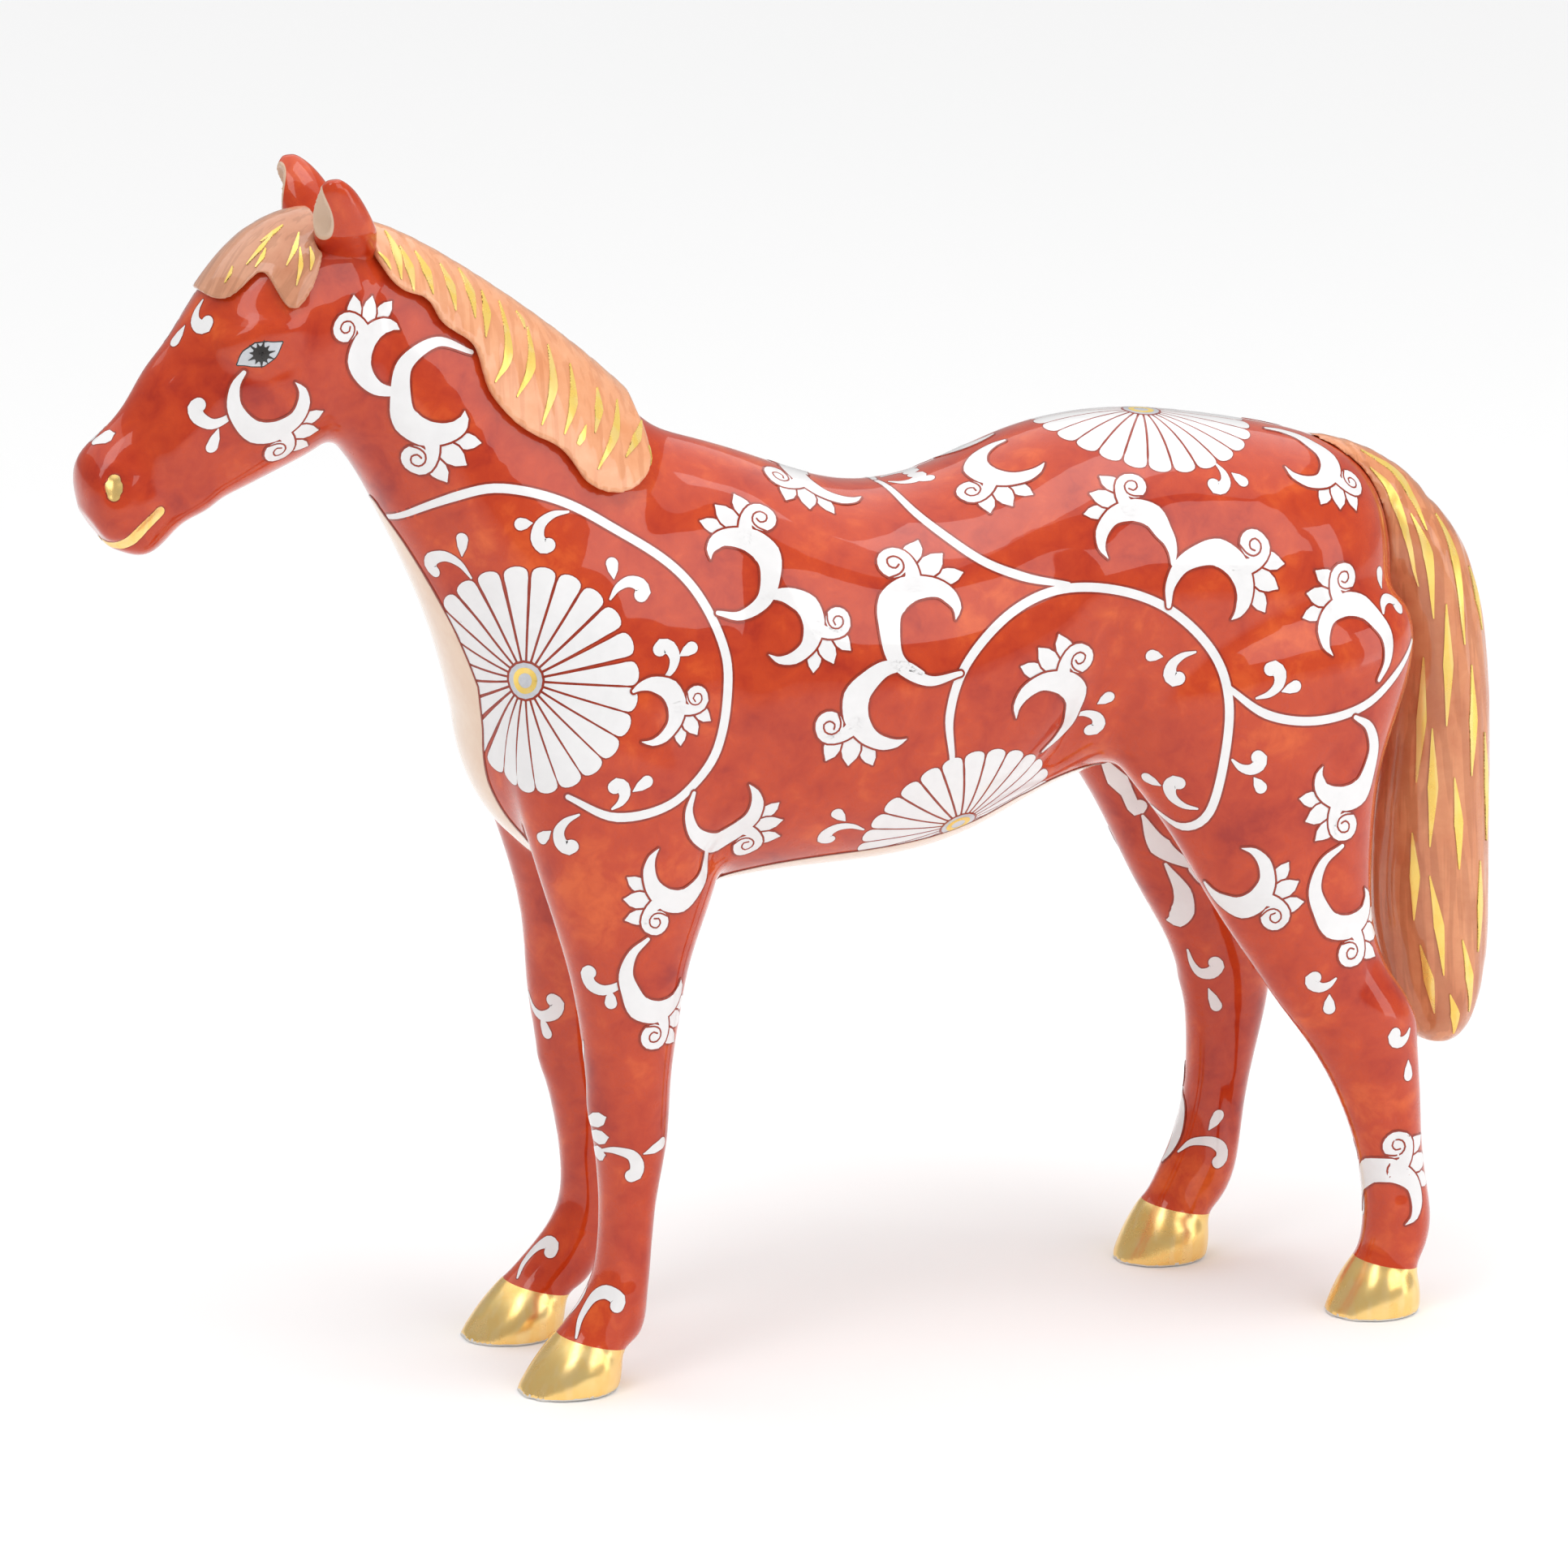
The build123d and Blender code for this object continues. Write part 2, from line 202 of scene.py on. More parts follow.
def distance_to_line(points, line):
    """Each point's distance to a line through these corners."""
    best = np.full(len(points), np.inf)
    corners = [np.array(c, float) for c in line]
    if len(corners) == 1:
        return np.linalg.norm(points - corners[0], axis=1)
    for a, b in zip(corners, corners[1:]):
        run = b - a
        share = np.clip((points - a) @ run / (run @ run), 0, 1)
        best = np.minimum(best, np.linalg.norm(points - a - share[:, None] * run, axis=1))
    return best


def mirrored(line):
    return [(x, -y, z) for x, y, z in line]


class Clay:
    """Pressing and raising a skin along lines, by thumb and modelling tool."""

    def __init__(self, piece):
        self.mesh = piece.data
        self.points = read_points(self.mesh)
        self.normals = read_normals(self.mesh)

    def raise_along(self, line, width, height, both=False):
        for way in [line, mirrored(line)] if both else [line]:
            near = np.exp(-((distance_to_line(self.points, way) / width) ** 2))
            self.points = self.points + self.normals * (height * near)[:, None]

    def done(self):
        write_points(self.mesh, self.points)


def smooth_shading(piece):
    piece.data.polygons.foreach_set("use_smooth", [True] * len(piece.data.polygons))
    piece.data.update()


class Surface:
    """Where a brush meets a skin, with the skin's smooth normal there."""

    def __init__(self, piece):
        mesh = piece.data
        self.points = [v.co.copy() for v in mesh.vertices]
        self.normals = [Vector(n) for n in read_normals(mesh)]
        self.faces = [tuple(p.vertices) for p in mesh.polygons]
        self.tree = BVHTree.FromPolygons(self.points, self.faces)

    def smooth_normal(self, place, face):
        corners = self.faces[face]
        weights = poly_3d_calc([self.points[c] for c in corners], place)
        return sum((self.normals[c] * w for c, w in zip(corners, weights)), Vector()).normalized()

    def nearest(self, place):
        found, _, face, _ = self.tree.find_nearest(place)
        return found, self.smooth_normal(found, face)

    def seen_along(self, place, normal, reach=14 * MM):
        """Where a brush held along normal touches, or the nearest place if it passes by."""
        found, _, face, gap = self.tree.ray_cast(place + normal * reach, -normal)
        if found is None or gap > 2 * reach:
            return self.nearest(place)[0]
        return found


def follow(piece, surface):
    """Shades a piece with the whole skin's normals, so that its cut edge doesn't show."""
    smooth_shading(piece)
    normals = [surface.nearest(v.co)[1] for v in piece.data.vertices]
    piece.data.normals_split_custom_set_from_vertices(normals)


# ---------------------------------------------------------------- materials


def new_group(name, inputs, outputs):
    """A shader group with its sockets; kinds are Vector, Float or Color."""
    group = bpy.data.node_groups.new(name, "ShaderNodeTree")
    for label, kind, value in inputs:
        socket = group.interface.new_socket(label, in_out="INPUT", socket_type="NodeSocket" + kind)
        if value is not None:
            socket.default_value = value
    for label, kind in outputs:
        group.interface.new_socket(label, in_out="OUTPUT", socket_type="NodeSocket" + kind)
    return group, group.nodes.new("NodeGroupInput"), group.nodes.new("NodeGroupOutput")


def set_sockets(node, **values):
    for label, value in values.items():
        node.inputs[label.replace("_", " ")].default_value = value


def brush_clouds_group():
    """Cloudy unevenness of a colour laid on with a soft brush: 0 thin, 1 thick."""
    group, start, end = new_group(
        "brush_clouds",
        [("Place", "Vector", None), ("Size", "Float", 90.0)],
        [("Clouds", "Float")],
    )
    nodes, link = group.nodes, group.links.new
    wide, fine, mix, spread = (
        nodes.new("ShaderNodeTexNoise"),
        nodes.new("ShaderNodeTexNoise"),
        nodes.new("ShaderNodeMix"),
        nodes.new("ShaderNodeMapRange"),
    )
    scale = nodes.new("ShaderNodeMath")
    scale.operation = "MULTIPLY"
    scale.inputs[1].default_value = 4.5
    set_sockets(wide, Detail=3.0, Roughness=0.55, Distortion=0.8)
    set_sockets(fine, Detail=5.0, Roughness=0.62, Distortion=0.4)
    mix.inputs[0].default_value = 0.42
    spread.inputs["From Min"].default_value = 0.33
    spread.inputs["From Max"].default_value = 0.67
    link(start.outputs["Place"], wide.inputs["Vector"])
    link(start.outputs["Place"], fine.inputs["Vector"])
    link(start.outputs["Size"], wide.inputs["Scale"])
    link(start.outputs["Size"], scale.inputs[0])
    link(scale.outputs[0], fine.inputs["Scale"])
    link(wide.outputs[0], mix.inputs[2])
    link(fine.outputs[0], mix.inputs[3])
    link(mix.outputs[0], spread.inputs["Value"])
    link(spread.outputs[0], end.inputs["Clouds"])
    return group


def fine_lines_group():
    """Thin brushed lines that run along Way, a unit direction."""
    group, start, end = new_group(
        "fine_lines",
        [
            ("Place", "Vector", None),
            ("Way", "Vector", (0.0, 0.0, 1.0)),
            ("Spacing", "Float", 700.0),
            ("Cover", "Float", 0.5),
        ],
        [("Lines", "Float")],
    )
    nodes, link = group.nodes, group.links.new
    along, most, run, stretch = (nodes.new("ShaderNodeVectorMath") for _ in range(4))
    along.operation, most.operation = "DOT_PRODUCT", "SCALE"
    run.operation, stretch.operation = "SCALE", "SUBTRACT"
    most.inputs["Scale"].default_value = 0.93
    noise, edge, high = (
        nodes.new("ShaderNodeTexNoise"),
        nodes.new("ShaderNodeMapRange"),
        nodes.new("ShaderNodeMath"),
    )
    high.operation = "ADD"
    high.inputs[1].default_value = 0.07
    set_sockets(noise, Detail=2.0, Roughness=0.5, Distortion=0.25)
    link(start.outputs["Place"], along.inputs[0])
    link(start.outputs["Way"], along.inputs[1])
    link(start.outputs["Way"], most.inputs[0])
    link(most.outputs[0], run.inputs[0])
    link(along.outputs["Value"], run.inputs["Scale"])
    link(start.outputs["Place"], stretch.inputs[0])
    link(run.outputs[0], stretch.inputs[1])
    link(stretch.outputs[0], noise.inputs["Vector"])
    link(start.outputs["Spacing"], noise.inputs["Scale"])
    link(noise.outputs[0], edge.inputs["Value"])
    link(start.outputs["Cover"], edge.inputs["From Min"])
    link(start.outputs["Cover"], high.inputs[0])
    link(high.outputs[0], edge.inputs["From Max"])
    link(edge.outputs[0], end.inputs["Lines"])
    return group


def ear_bowl_group():
    """1 inside the scoop of either ear, 0 outside it."""
    group, start, end = new_group("ear_bowl", [("Place", "Vector", None)], [("Inside", "Float")])
    nodes, link = group.nodes, group.links.new
    either, apart, reach, far = (nodes.new("ShaderNodeVectorMath") for _ in range(4))
    either.operation, apart.operation = "ABSOLUTE", "SUBTRACT"
    reach.operation, far.operation = "DIVIDE", "LENGTH"
    apart.inputs[1].default_value = [abs(c) * MM for c in EAR_BOWL]
    reach.inputs[1].default_value = [c * MM for c in EAR_BOWL_REACH]
    edge = nodes.new("ShaderNodeMapRange")
    edge.inputs["From Min"].default_value = 1.0
    edge.inputs["From Max"].default_value = 0.97
    link(start.outputs["Place"], either.inputs[0])
    link(either.outputs[0], apart.inputs[0])
    link(apart.outputs[0], reach.inputs[0])
    link(reach.outputs[0], far.inputs[0])
    link(far.outputs["Value"], edge.inputs["Value"])
    link(edge.outputs[0], end.inputs["Inside"])
    return group


BRUSH_CLOUDS = brush_clouds_group()
FINE_LINES = fine_lines_group()
EAR_INSIDE = ear_bowl_group()


class Finish:
    """A material being made: its nodes, and where its object lies."""

    def __init__(self, name, roughness=0.2, coat=0.85, metallic=0.0):
        self.material = bpy.data.materials.new(name)
        self.material.use_nodes = True
        self.tree = self.material.node_tree
        self.shader = self.tree.nodes["Principled BSDF"]
        self.place = self.tree.nodes.new("ShaderNodeTexCoord").outputs["Object"]
        set_sockets(self.shader, Roughness=roughness, Metallic=metallic, Specular_IOR_Level=0.12)
        set_sockets(self.shader, Coat_Weight=coat, Coat_Roughness=0.03, Coat_IOR=1.5)

    def group(self, tree, place=None, **values):
        node = self.tree.nodes.new("ShaderNodeGroup")
        node.node_tree = tree
        self.tree.links.new(place or self.place, node.inputs["Place"])
        set_sockets(node, **values)
        return node.outputs[0]

    def ramp(self, mask, *stops):
        """Colours over a mask, as (where, colour) stops."""
        ramp = self.tree.nodes.new("ShaderNodeValToRGB")
        elements = ramp.color_ramp.elements
        for n, (where, colour) in enumerate(stops):
            element = elements[n] if n < 2 else elements.new(where)
            element.position = where
            element.color = (*colour, 1.0)
        self.tree.links.new(mask, ramp.inputs[0])
        return ramp.outputs[0]

    def blend(self, mask, below, above):
        """above over below where mask is 1; either may be a socket or a colour."""
        mix = self.tree.nodes.new("ShaderNodeMix")
        mix.data_type = "RGBA"
        self.tree.links.new(mask, mix.inputs[0])
        for value, socket in ((below, mix.inputs[6]), (above, mix.inputs[7])):
            if isinstance(value, tuple):
                socket.default_value = (*value, 1.0)
            else:
                self.tree.links.new(value, socket)
        return mix.outputs[2]

    def share(self, mask, low, high):
        """A mask spread from low to high."""
        spread = self.tree.nodes.new("ShaderNodeMapRange")
        spread.inputs["To Min"].default_value = low
        spread.inputs["To Max"].default_value = high
        self.tree.links.new(mask, spread.inputs["Value"])
        return spread.outputs[0]

    def bump(self, height, depth):
        bump = self.tree.nodes.new("ShaderNodeBump")
        bump.inputs["Strength"].default_value = 1.0
        bump.inputs["Distance"].default_value = depth * MM
        self.tree.links.new(height, bump.inputs["Height"])
        self.tree.links.new(bump.outputs[0], self.shader.inputs["Normal"])

    def feed(self, socket, value):
        self.tree.links.new(value, self.shader.inputs[socket])


def iron_red(name, lined=False):
    """The cloudy red ground; lined gives it the ears' pale linings."""
    finish = Finish(name, roughness=0.28)
    clouds = finish.group(BRUSH_CLOUDS, Size=75.0)
    colour = finish.ramp(
        clouds,
        (0.0, (0.74, 0.110, 0.018)),
        (0.35, (0.59, 0.056, 0.009)),
        (0.7, (0.50, 0.036, 0.006)),
        (1.0, (0.38, 0.017, 0.004)),
    )
    if lined:
        colour = finish.blend(finish.group(EAR_INSIDE), colour, (0.70, 0.50, 0.36))
    finish.feed("Base Color", colour)
    finish.feed("Roughness", finish.share(clouds, 0.22, 0.34))
    finish.bump(clouds, 0.012)
    return finish.material


def reserve_white():
    finish = Finish("reserve_white", roughness=0.2)
    clouds = finish.group(BRUSH_CLOUDS, Size=160.0)
    finish.feed("Base Color", finish.ramp(clouds, (0.0, (0.90, 0.89, 0.89)), (1.0, (0.84, 0.83, 0.83))))
    finish.feed("Roughness", finish.share(clouds, 0.16, 0.24))
    return finish.material


def outline_brown():
    finish = Finish("outline_brown", roughness=0.25)
    clouds = finish.group(BRUSH_CLOUDS, Size=600.0)
    colour = finish.ramp(clouds, (0.0, (0.38, 0.042, 0.014)), (1.0, (0.26, 0.020, 0.008)))
    finish.feed("Base Color", colour)
    return finish.material


def peach(name, light, deep, lines, way, spacing, cover):
    """A thin wash for hair, with fine brushed lines along way."""
    finish = Finish(name, roughness=0.26)
    clouds = finish.group(BRUSH_CLOUDS, Size=90.0)
    wash = finish.ramp(clouds, (0.0, light), (1.0, deep))
    hairs = finish.group(FINE_LINES, Way=Vector(way).normalized(), Spacing=spacing, Cover=cover)
    finish.feed("Base Color", finish.blend(finish.share(hairs, 0.0, 0.3), wash, lines))
    finish.feed("Roughness", finish.share(clouds, 0.2, 0.32))
    finish.bump(clouds, 0.01)
    return finish.material


def gilding(name, light, deep, metallic):
    """Fired gold, rubbed a little lighter here and there."""
    finish = Finish(name, roughness=0.28, coat=0.0, metallic=metallic)
    clouds = finish.group(BRUSH_CLOUDS, Size=160.0)
    rubbed = finish.group(FINE_LINES, Spacing=600.0, Cover=0.5)
    wash = finish.ramp(clouds, (0.0, light), (1.0, deep))
    finish.feed("Base Color", finish.blend(finish.share(rubbed, 0.0, 0.3), wash, (1.0, 0.78, 0.42)))
    finish.feed("Roughness", finish.share(clouds, 0.22, 0.3))
    finish.bump(clouds, 0.003)
    return finish.material


def plain_enamel(name, light, deep, roughness=0.2, coat=1.0, size=400.0):
    finish = Finish(name, roughness=roughness, coat=coat)
    clouds = finish.group(BRUSH_CLOUDS, Size=size)
    finish.feed("Base Color", finish.ramp(clouds, (0.0, light), (1.0, deep)))
    return finish.material


IRON_RED = iron_red("iron_red_glaze")
EAR_RED = iron_red("ear_red_glaze", lined=True)
WHITE = reserve_white()
BROWN = outline_brown()
PEACH_MANE = peach(
    "peach_mane_wash",
    light=(0.92, 0.48, 0.28),
    deep=(0.80, 0.33, 0.15),
    lines=(0.60, 0.20, 0.08),
    way=(-0.1, -0.45, -0.9),
    spacing=900,
    cover=0.5,
)
PEACH_LOCK = peach(
    "peach_forelock_wash",
    light=(0.72, 0.36, 0.22),
    deep=(0.58, 0.24, 0.13),
    lines=(0.34, 0.14, 0.07),
    way=(-0.6, -0.2, -0.7),
    spacing=1100,
    cover=0.5,
)
PEACH_TAIL = peach(
    "peach_tail_wash",
    light=(0.80, 0.34, 0.16),
    deep=(0.64, 0.21, 0.09),
    lines=(0.36, 0.10, 0.04),
    way=(0.05, 0.0, -1.0),
    spacing=700,
    cover=0.46,
)
PALE_PEACH = plain_enamel("pale_peach_wash", (0.88, 0.68, 0.52), (0.82, 0.58, 0.42), size=120.0)
GOLD = gilding("burnished_gold", (1.0, 0.74, 0.30), (1.0, 0.62, 0.19), 0.82)
BRIGHT_GOLD = gilding("brushed_gold", (1.0, 0.76, 0.22), (0.98, 0.64, 0.14), 0.4)
EYE_GREY = plain_enamel("eye_grey", (0.66, 0.67, 0.70), (0.52, 0.54, 0.58))
EYE_BLACK = plain_enamel("eye_black", (0.012, 0.010, 0.010), (0.02, 0.014, 0.012))
BARE_BISCUIT = plain_enamel("bare_biscuit", (0.80, 0.78, 0.74), (0.72, 0.69, 0.65), 0.6, 0.0)

# ---------------------------------------------------------------- the body's skin

BODY_NODES = ("torso", "neck", "head")
LEG_NODES = ("left_foreleg", "right_foreleg", "left_hind_leg", "right_hind_leg")
HOOF_NODES = ("left_fore_hoof", "right_fore_hoof", "left_hind_hoof", "right_hind_hoof")


def vent_plug():
    """Closes the vent inside, so that the hollow is a loose shell that can be thrown away."""
    bpy.ops.mesh.primitive_cylinder_add(
        vertices=24, radius=VENT_PLUG_RADIUS * MM, depth=VENT_PLUG_DEPTH * MM, location=[c * MM for c in VENT]
    )
    plug = bpy.context.active_object
    select_only(plug)
    bpy.ops.object.transform_apply(location=True, rotation=True, scale=True)
    return plug


def body_skin():
    """Torso, neck, head, legs and hooves luted into one smooth outer skin."""
    skin = casting_copy("skin", *BODY_NODES, *LEG_NODES, *HOOF_NODES)
    plug = vent_plug()
    plug.select_set(True)
    skin.select_set(True)
    bpy.context.view_layer.objects.active = skin
    bpy.ops.object.join()
    apply_modifier(skin, "REMESH", mode="VOXEL", voxel_size=SKIN_VOXEL * MM)
    keep_outer_shell(skin)
    smooth_clay(skin, CLAY_ROUNDS, SMOOTH_ROUNDS)
    return skin


def model_head(clay):
    """Eye sockets, brow, facial crest, cheek, nostrils, mouth and jaw."""
    clay.raise_along([(-73.8, -7.0, 131.0), (-70.5, -8.2, 132.9), (-67.0, -8.6, 132.6)], 1.5, 0.6, True)
    clay.raise_along([(-72.8, -7.6, 127.6), (-70.0, -8.6, 127.2), (-67.4, -8.9, 128.2)], 0.9, -0.35, True)
    clay.raise_along([(-70.4, -8.6, 129.9)], 2.4, 0.45, True)
    clay.raise_along([(-74.5, -6.8, 124.4), (-80.2, -5.6, 117.8)], 1.8, 0.45, True)
    clay.raise_along([(-73.0, -7.0, 119.0), (-79.0, -5.5, 112.8)], 2.4, -0.4, True)
    clay.raise_along([(-61.8, -8.6, 123.2)], 6.0, 0.5, True)
    clay.raise_along([(-55.2, -8.0, 134.0), (-54.4, -8.2, 128.0), (-56.0, -8.0, 121.0)], 1.8, -0.5, True)
    clay.raise_along([(-87.3, -4.6, 114.4)], 2.5, 0.55, True)
    clay.raise_along([(-87.3, -5.0, 115.2), (-87.4, -5.2, 113.7)], 0.95, -1.1, True)
    mouth = [(-90.4, -0.4, 107.6), (-87.0, -3.6, 106.9), (-84.2, -5.0, 109.0), (-81.6, -5.0, 111.0)]
    clay.raise_along(mouth, 0.55, -0.42, True)
    clay.raise_along([(-86.0, -4.4, 110.4), (-83.0, -5.0, 112.6)], 1.2, 0.25, True)
    clay.raise_along([(-83.5, -3.4, 106.3)], 2.0, 0.35, True)


def model_body(clay):
    """The shallow lines of muscle that catch the light."""
    clay.raise_along([(-55.0, -7.8, 117.0), (-48.0, -9.4, 106.0), (-43.0, -9.0, 97.0)], 2.6, -0.45, True)
    clay.raise_along([(-23.0, -11.5, 112.0), (-34.0, -13.2, 101.0)], 4.5, -0.5, True)
    clay.raise_along([(-14.0, -14.0, 107.0), (-13.0, -17.0, 95.0), (-15.5, -17.5, 82.0)], 4.0, -0.7, True)
    clay.raise_along([(-30.0, -16.5, 80.0), (-22.0, -18.0, 76.0)], 3.5, 0.35, True)
    clay.raise_along([(-16.5, -16.0, 66.0), (-12.0, -14.0, 71.0)], 2.2, -0.7, True)
    clay.raise_along([(27.5, -15.0, 74.5), (31.0, -17.0, 83.0), (33.0, -17.5, 90.0)], 3.0, -1.0, True)
    clay.raise_along([(33.0, -17.5, 97.5)], 4.5, 0.6, True)
    clay.raise_along([(45.0, -18.0, 104.0), (58.0, -18.5, 99.0)], 5.0, -0.35, True)
    clay.raise_along([(62.0, -19.5, 72.0), (60.0, -19.0, 60.0), (63.5, -18.5, 52.0)], 2.6, -0.5, True)
    clay.raise_along([(-39.0, 0.0, 88.0), (-38.0, 0.0, 78.0)], 2.2, -0.7)


def model_legs(clay):
    """Tendon grooves, knees and hocks."""
    fore = ((-24.5, 16.4), (-26.0, 22.0), (-25.0, 30.0))
    for y in (-15.2, -8.0):
        clay.raise_along([(-27.5, y, 14.0), (-27.0, y, 22.0), (-26.5, y, 29.0)], 1.0, -0.35)
        clay.raise_along([(x + 1.5, -y, z) for x, z in fore], 1.0, -0.3)
    for x, side in ((-31.4, LEFT), (-29.8, RIGHT)):
        clay.raise_along([(x, 11.6 * side, 35.0)], 2.6, 0.35)
    for side, x in ((LEFT, 70.2), (RIGHT, 59.8)):
        for y in (11.4, 18.6):
            clay.raise_along([(x + 2.2, y * side, 16.0), (x + 0.8, y * side, 29.0)], 1.0, -0.35)
        clay.raise_along([(x - 3.5, 17.4 * side, 36.0), (x + 4.6, 16.0 * side, 37.5)], 1.8, 0.25)


SKIN = body_skin()
clay = Clay(SKIN)
model_head(clay)
model_body(clay)
model_legs(clay)
clay.done()
smooth_clay(SKIN, 0, 2)
smooth_shading(SKIN)
BODY = Surface(SKIN)

# ---------------------------------------------------------------- castings cut from the skin


def in_side_view(upper, lower):
    """A luting plane's point and normal, from two points in side view; the normal faces the head."""
    (ux, uz), (lx, lz) = upper, lower
    place = Vector(((ux + lx) / 2, 0, (uz + lz) / 2)) * MM
    return place, Vector((lz - uz, 0, ux - lx)).normalized()


NECK_SEAM = in_side_view((-18.5, 117.0), (-43.7, 82.0))
HEAD_SEAM = in_side_view((-55.3, 142.5), (-60.1, 117.8))
LEG_PLANE = (Vector((0, 0, LEG_SEAM)) * MM, Vector((0, 0, 1)))

# Coronets: where each leg meets its hoof, front edge and back edge in side view
CORONETS = {
    "left_fore": ((-36.2, 7.3), (-27.6, 5.0)),
    "right_fore": ((-35.8, 7.3), (-27.2, 5.0)),
    "left_hind": ((67.8, 7.2), (76.2, 5.6)),
    "right_hind": ((51.0, 7.8), (60.2, 5.6)),
}


def cut(piece, plane, keep):
    """Cuts a piece at a plane, keeps one side (1 where the normal points) and closes it."""
    place, normal = plane
    bm = bmesh.new()
    bm.from_mesh(piece.data)
    geometry = bm.verts[:] + bm.edges[:] + bm.faces[:]
    bmesh.ops.bisect_plane(
        bm, geom=geometry, plane_co=place, plane_no=normal, clear_inner=keep > 0, clear_outer=keep < 0
    )
    bmesh.ops.holes_fill(bm, edges=[e for e in bm.edges if e.is_boundary])
    bm.to_mesh(piece.data)
    bm.free()


def part_of_skin(name, cuts, inside=None):
    """A casting cut from the skin by planes, and from its neighbours by what inside says of a point."""
    piece = bpy.data.objects.new(name, SKIN.data.copy())
    piece.data.name = name
    bpy.context.scene.collection.objects.link(piece)
    if inside:
        bm = bmesh.new()
        bm.from_mesh(piece.data)
        bmesh.ops.delete(bm, geom=[v for v in bm.verts if not inside(v.co / MM)], context="VERTS")
        bm.to_mesh(piece.data)
        bm.free()
    for plane, keep in cuts:
        cut(piece, plane, keep)
    follow(piece, BODY)
    return piece


def settle(piece, material, nodes=()):
    """Gives a finished piece its material and its place on the horse."""
    piece.data.materials.append(material)
    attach(piece, "root")
    if nodes:
        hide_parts(*nodes)
    return piece


def quarter(fore, side):
    """Says whether a point is in one leg's quarter, a little above its luting plane or lower."""
    return lambda p: p.z < LEG_SEAM + 1.5 and (p.x < 10) == fore and p.y * side > 0


settle(part_of_skin("torso_glazed", [(NECK_SEAM, -1), (LEG_PLANE, 1)]), IRON_RED, ["torso"])
settle(part_of_skin("neck_glazed", [(NECK_SEAM, 1), (HEAD_SEAM, -1)]), IRON_RED, ["neck"])
settle(part_of_skin("head_glazed", [(HEAD_SEAM, 1)]), IRON_RED, ["head"])

for leg_name, (front, back) in CORONETS.items():
    fore, side = leg_name.endswith("fore"), LEFT if leg_name.startswith("left") else RIGHT
    coronet = in_side_view(front, back)
    up = 1 if coronet[1].z > 0 else -1
    leg = leg_name + ("leg" if fore else "_leg")
    piece = part_of_skin(leg + "_glazed", [(LEG_PLANE, -1), (coronet, up)], quarter(fore, side))
    settle(piece, IRON_RED, [leg])
    hoof = part_of_skin(leg_name + "_hoof_gilded", [(coronet, -up)], quarter(fore, side))
    settle(hoof, GOLD, [leg_name + "_hoof"])
    hoof.data.materials.append(BARE_BISCUIT)
    for face in hoof.data.polygons:
        face.material_index = int(face.center.z < SOLE_RIM * MM)

# ---------------------------------------------------------------- ears, mane, forelock and tail


def modelled_copy(name, node, voxel, rounds):
    """A copy of one casting with fine, smoothed faces, ready to be modelled."""
    piece = casting_copy(name, node)
    apply_modifier(piece, "REMESH", mode="VOXEL", voxel_size=voxel * MM)
    keep_outer_shell(piece)
    smooth_clay(piece, 0, rounds)
    return piece


def comb(piece, direction, spacing, depth):
    """Shallow wavy grooves that run along a direction, as combed hair in clay."""
    mesh = piece.data
    points, normals = read_points(mesh), read_normals(mesh)
    way = np.array(direction, float)
    way /= np.linalg.norm(way)
    along = points @ way
    across = points @ np.cross(way, (0.0, 1.0, 0.0)) + 0.35 * points[:, 1]
    wander = 0.7 * np.sin(along * 0.35 + points[:, 1] * 0.5)
    wander += 0.3 * np.sin(along * 0.9 + across * 0.4)
    wave = np.sin(2 * pi * (across + wander) / spacing)
    wave += 0.5 * np.sin(2 * pi * across / (0.47 * spacing) + 1)
    write_points(mesh, points + normals * (depth * (wave / 1.5 - 0.4))[:, None])


mane = modelled_copy("mane_modelled", "mane", HAIR_VOXEL, 14)
comb(mane, (-0.25, -0.35, -1.0), 3.0, 0.03)
forelock = modelled_copy("forelock_modelled", "forelock", FORELOCK_VOXEL, 12)
comb(forelock, (-0.6, -0.2, -0.75), 2.0, 0.025)
tail = modelled_copy("tail_modelled", "tail", HAIR_VOXEL, 14)
comb(tail, (0.05, 0.0, -1.0), 3.2, 0.045)
hair = ((mane, "mane", PEACH_MANE), (forelock, "forelock", PEACH_LOCK), (tail, "tail", PEACH_TAIL))
for piece, node, wash in hair:
    smooth_clay(piece, 0, 2)
    smooth_shading(piece)
    settle(piece, wash, [node])
MANE, FORELOCK, TAIL = Surface(mane), Surface(forelock), Surface(tail)

for side_name in ("left", "right"):
    ear = modelled_copy(side_name + "_ear_modelled", side_name + "_ear", EAR_VOXEL, 8)
    points = read_points(ear.data)
    depth = np.clip((EAR_FOOT - points[:, 2]) / EAR_FOOT_DEPTH, 0, 1)
    points[:, 1] *= 1 - EAR_TUCK * depth
    points[:, 2] -= EAR_SINK * depth
    write_points(ear.data, points)
    smooth_shading(ear)
    settle(ear, EAR_RED, [side_name + "_ear"])

# ---------------------------------------------------------------- brushes


def curve_through(corners, widths, step):
    """Evenly spaced points and widths on a smooth curve through corners."""
    corners = [Vector(c) for c in corners]
    ends = [2 * corners[0] - corners[1], *corners, 2 * corners[-1] - corners[-2]]
    points, spread = [], []
    for n in range(len(corners) - 1):
        a, b, c, d = ends[n : n + 4]
        count = max(1, round((c - b).length / step))
        for k in range(count):
            t = k / count
            bend, twist = 2 * a - 5 * b + 4 * c - d, 3 * b - a - 3 * c + d
            points.append(0.5 * (2 * b + (c - a) * t + bend * t**2 + twist * t**3))
            spread.append(widths[n] + (widths[n + 1] - widths[n]) * t)
    return points + [corners[-1]], spread + [widths[-1]]


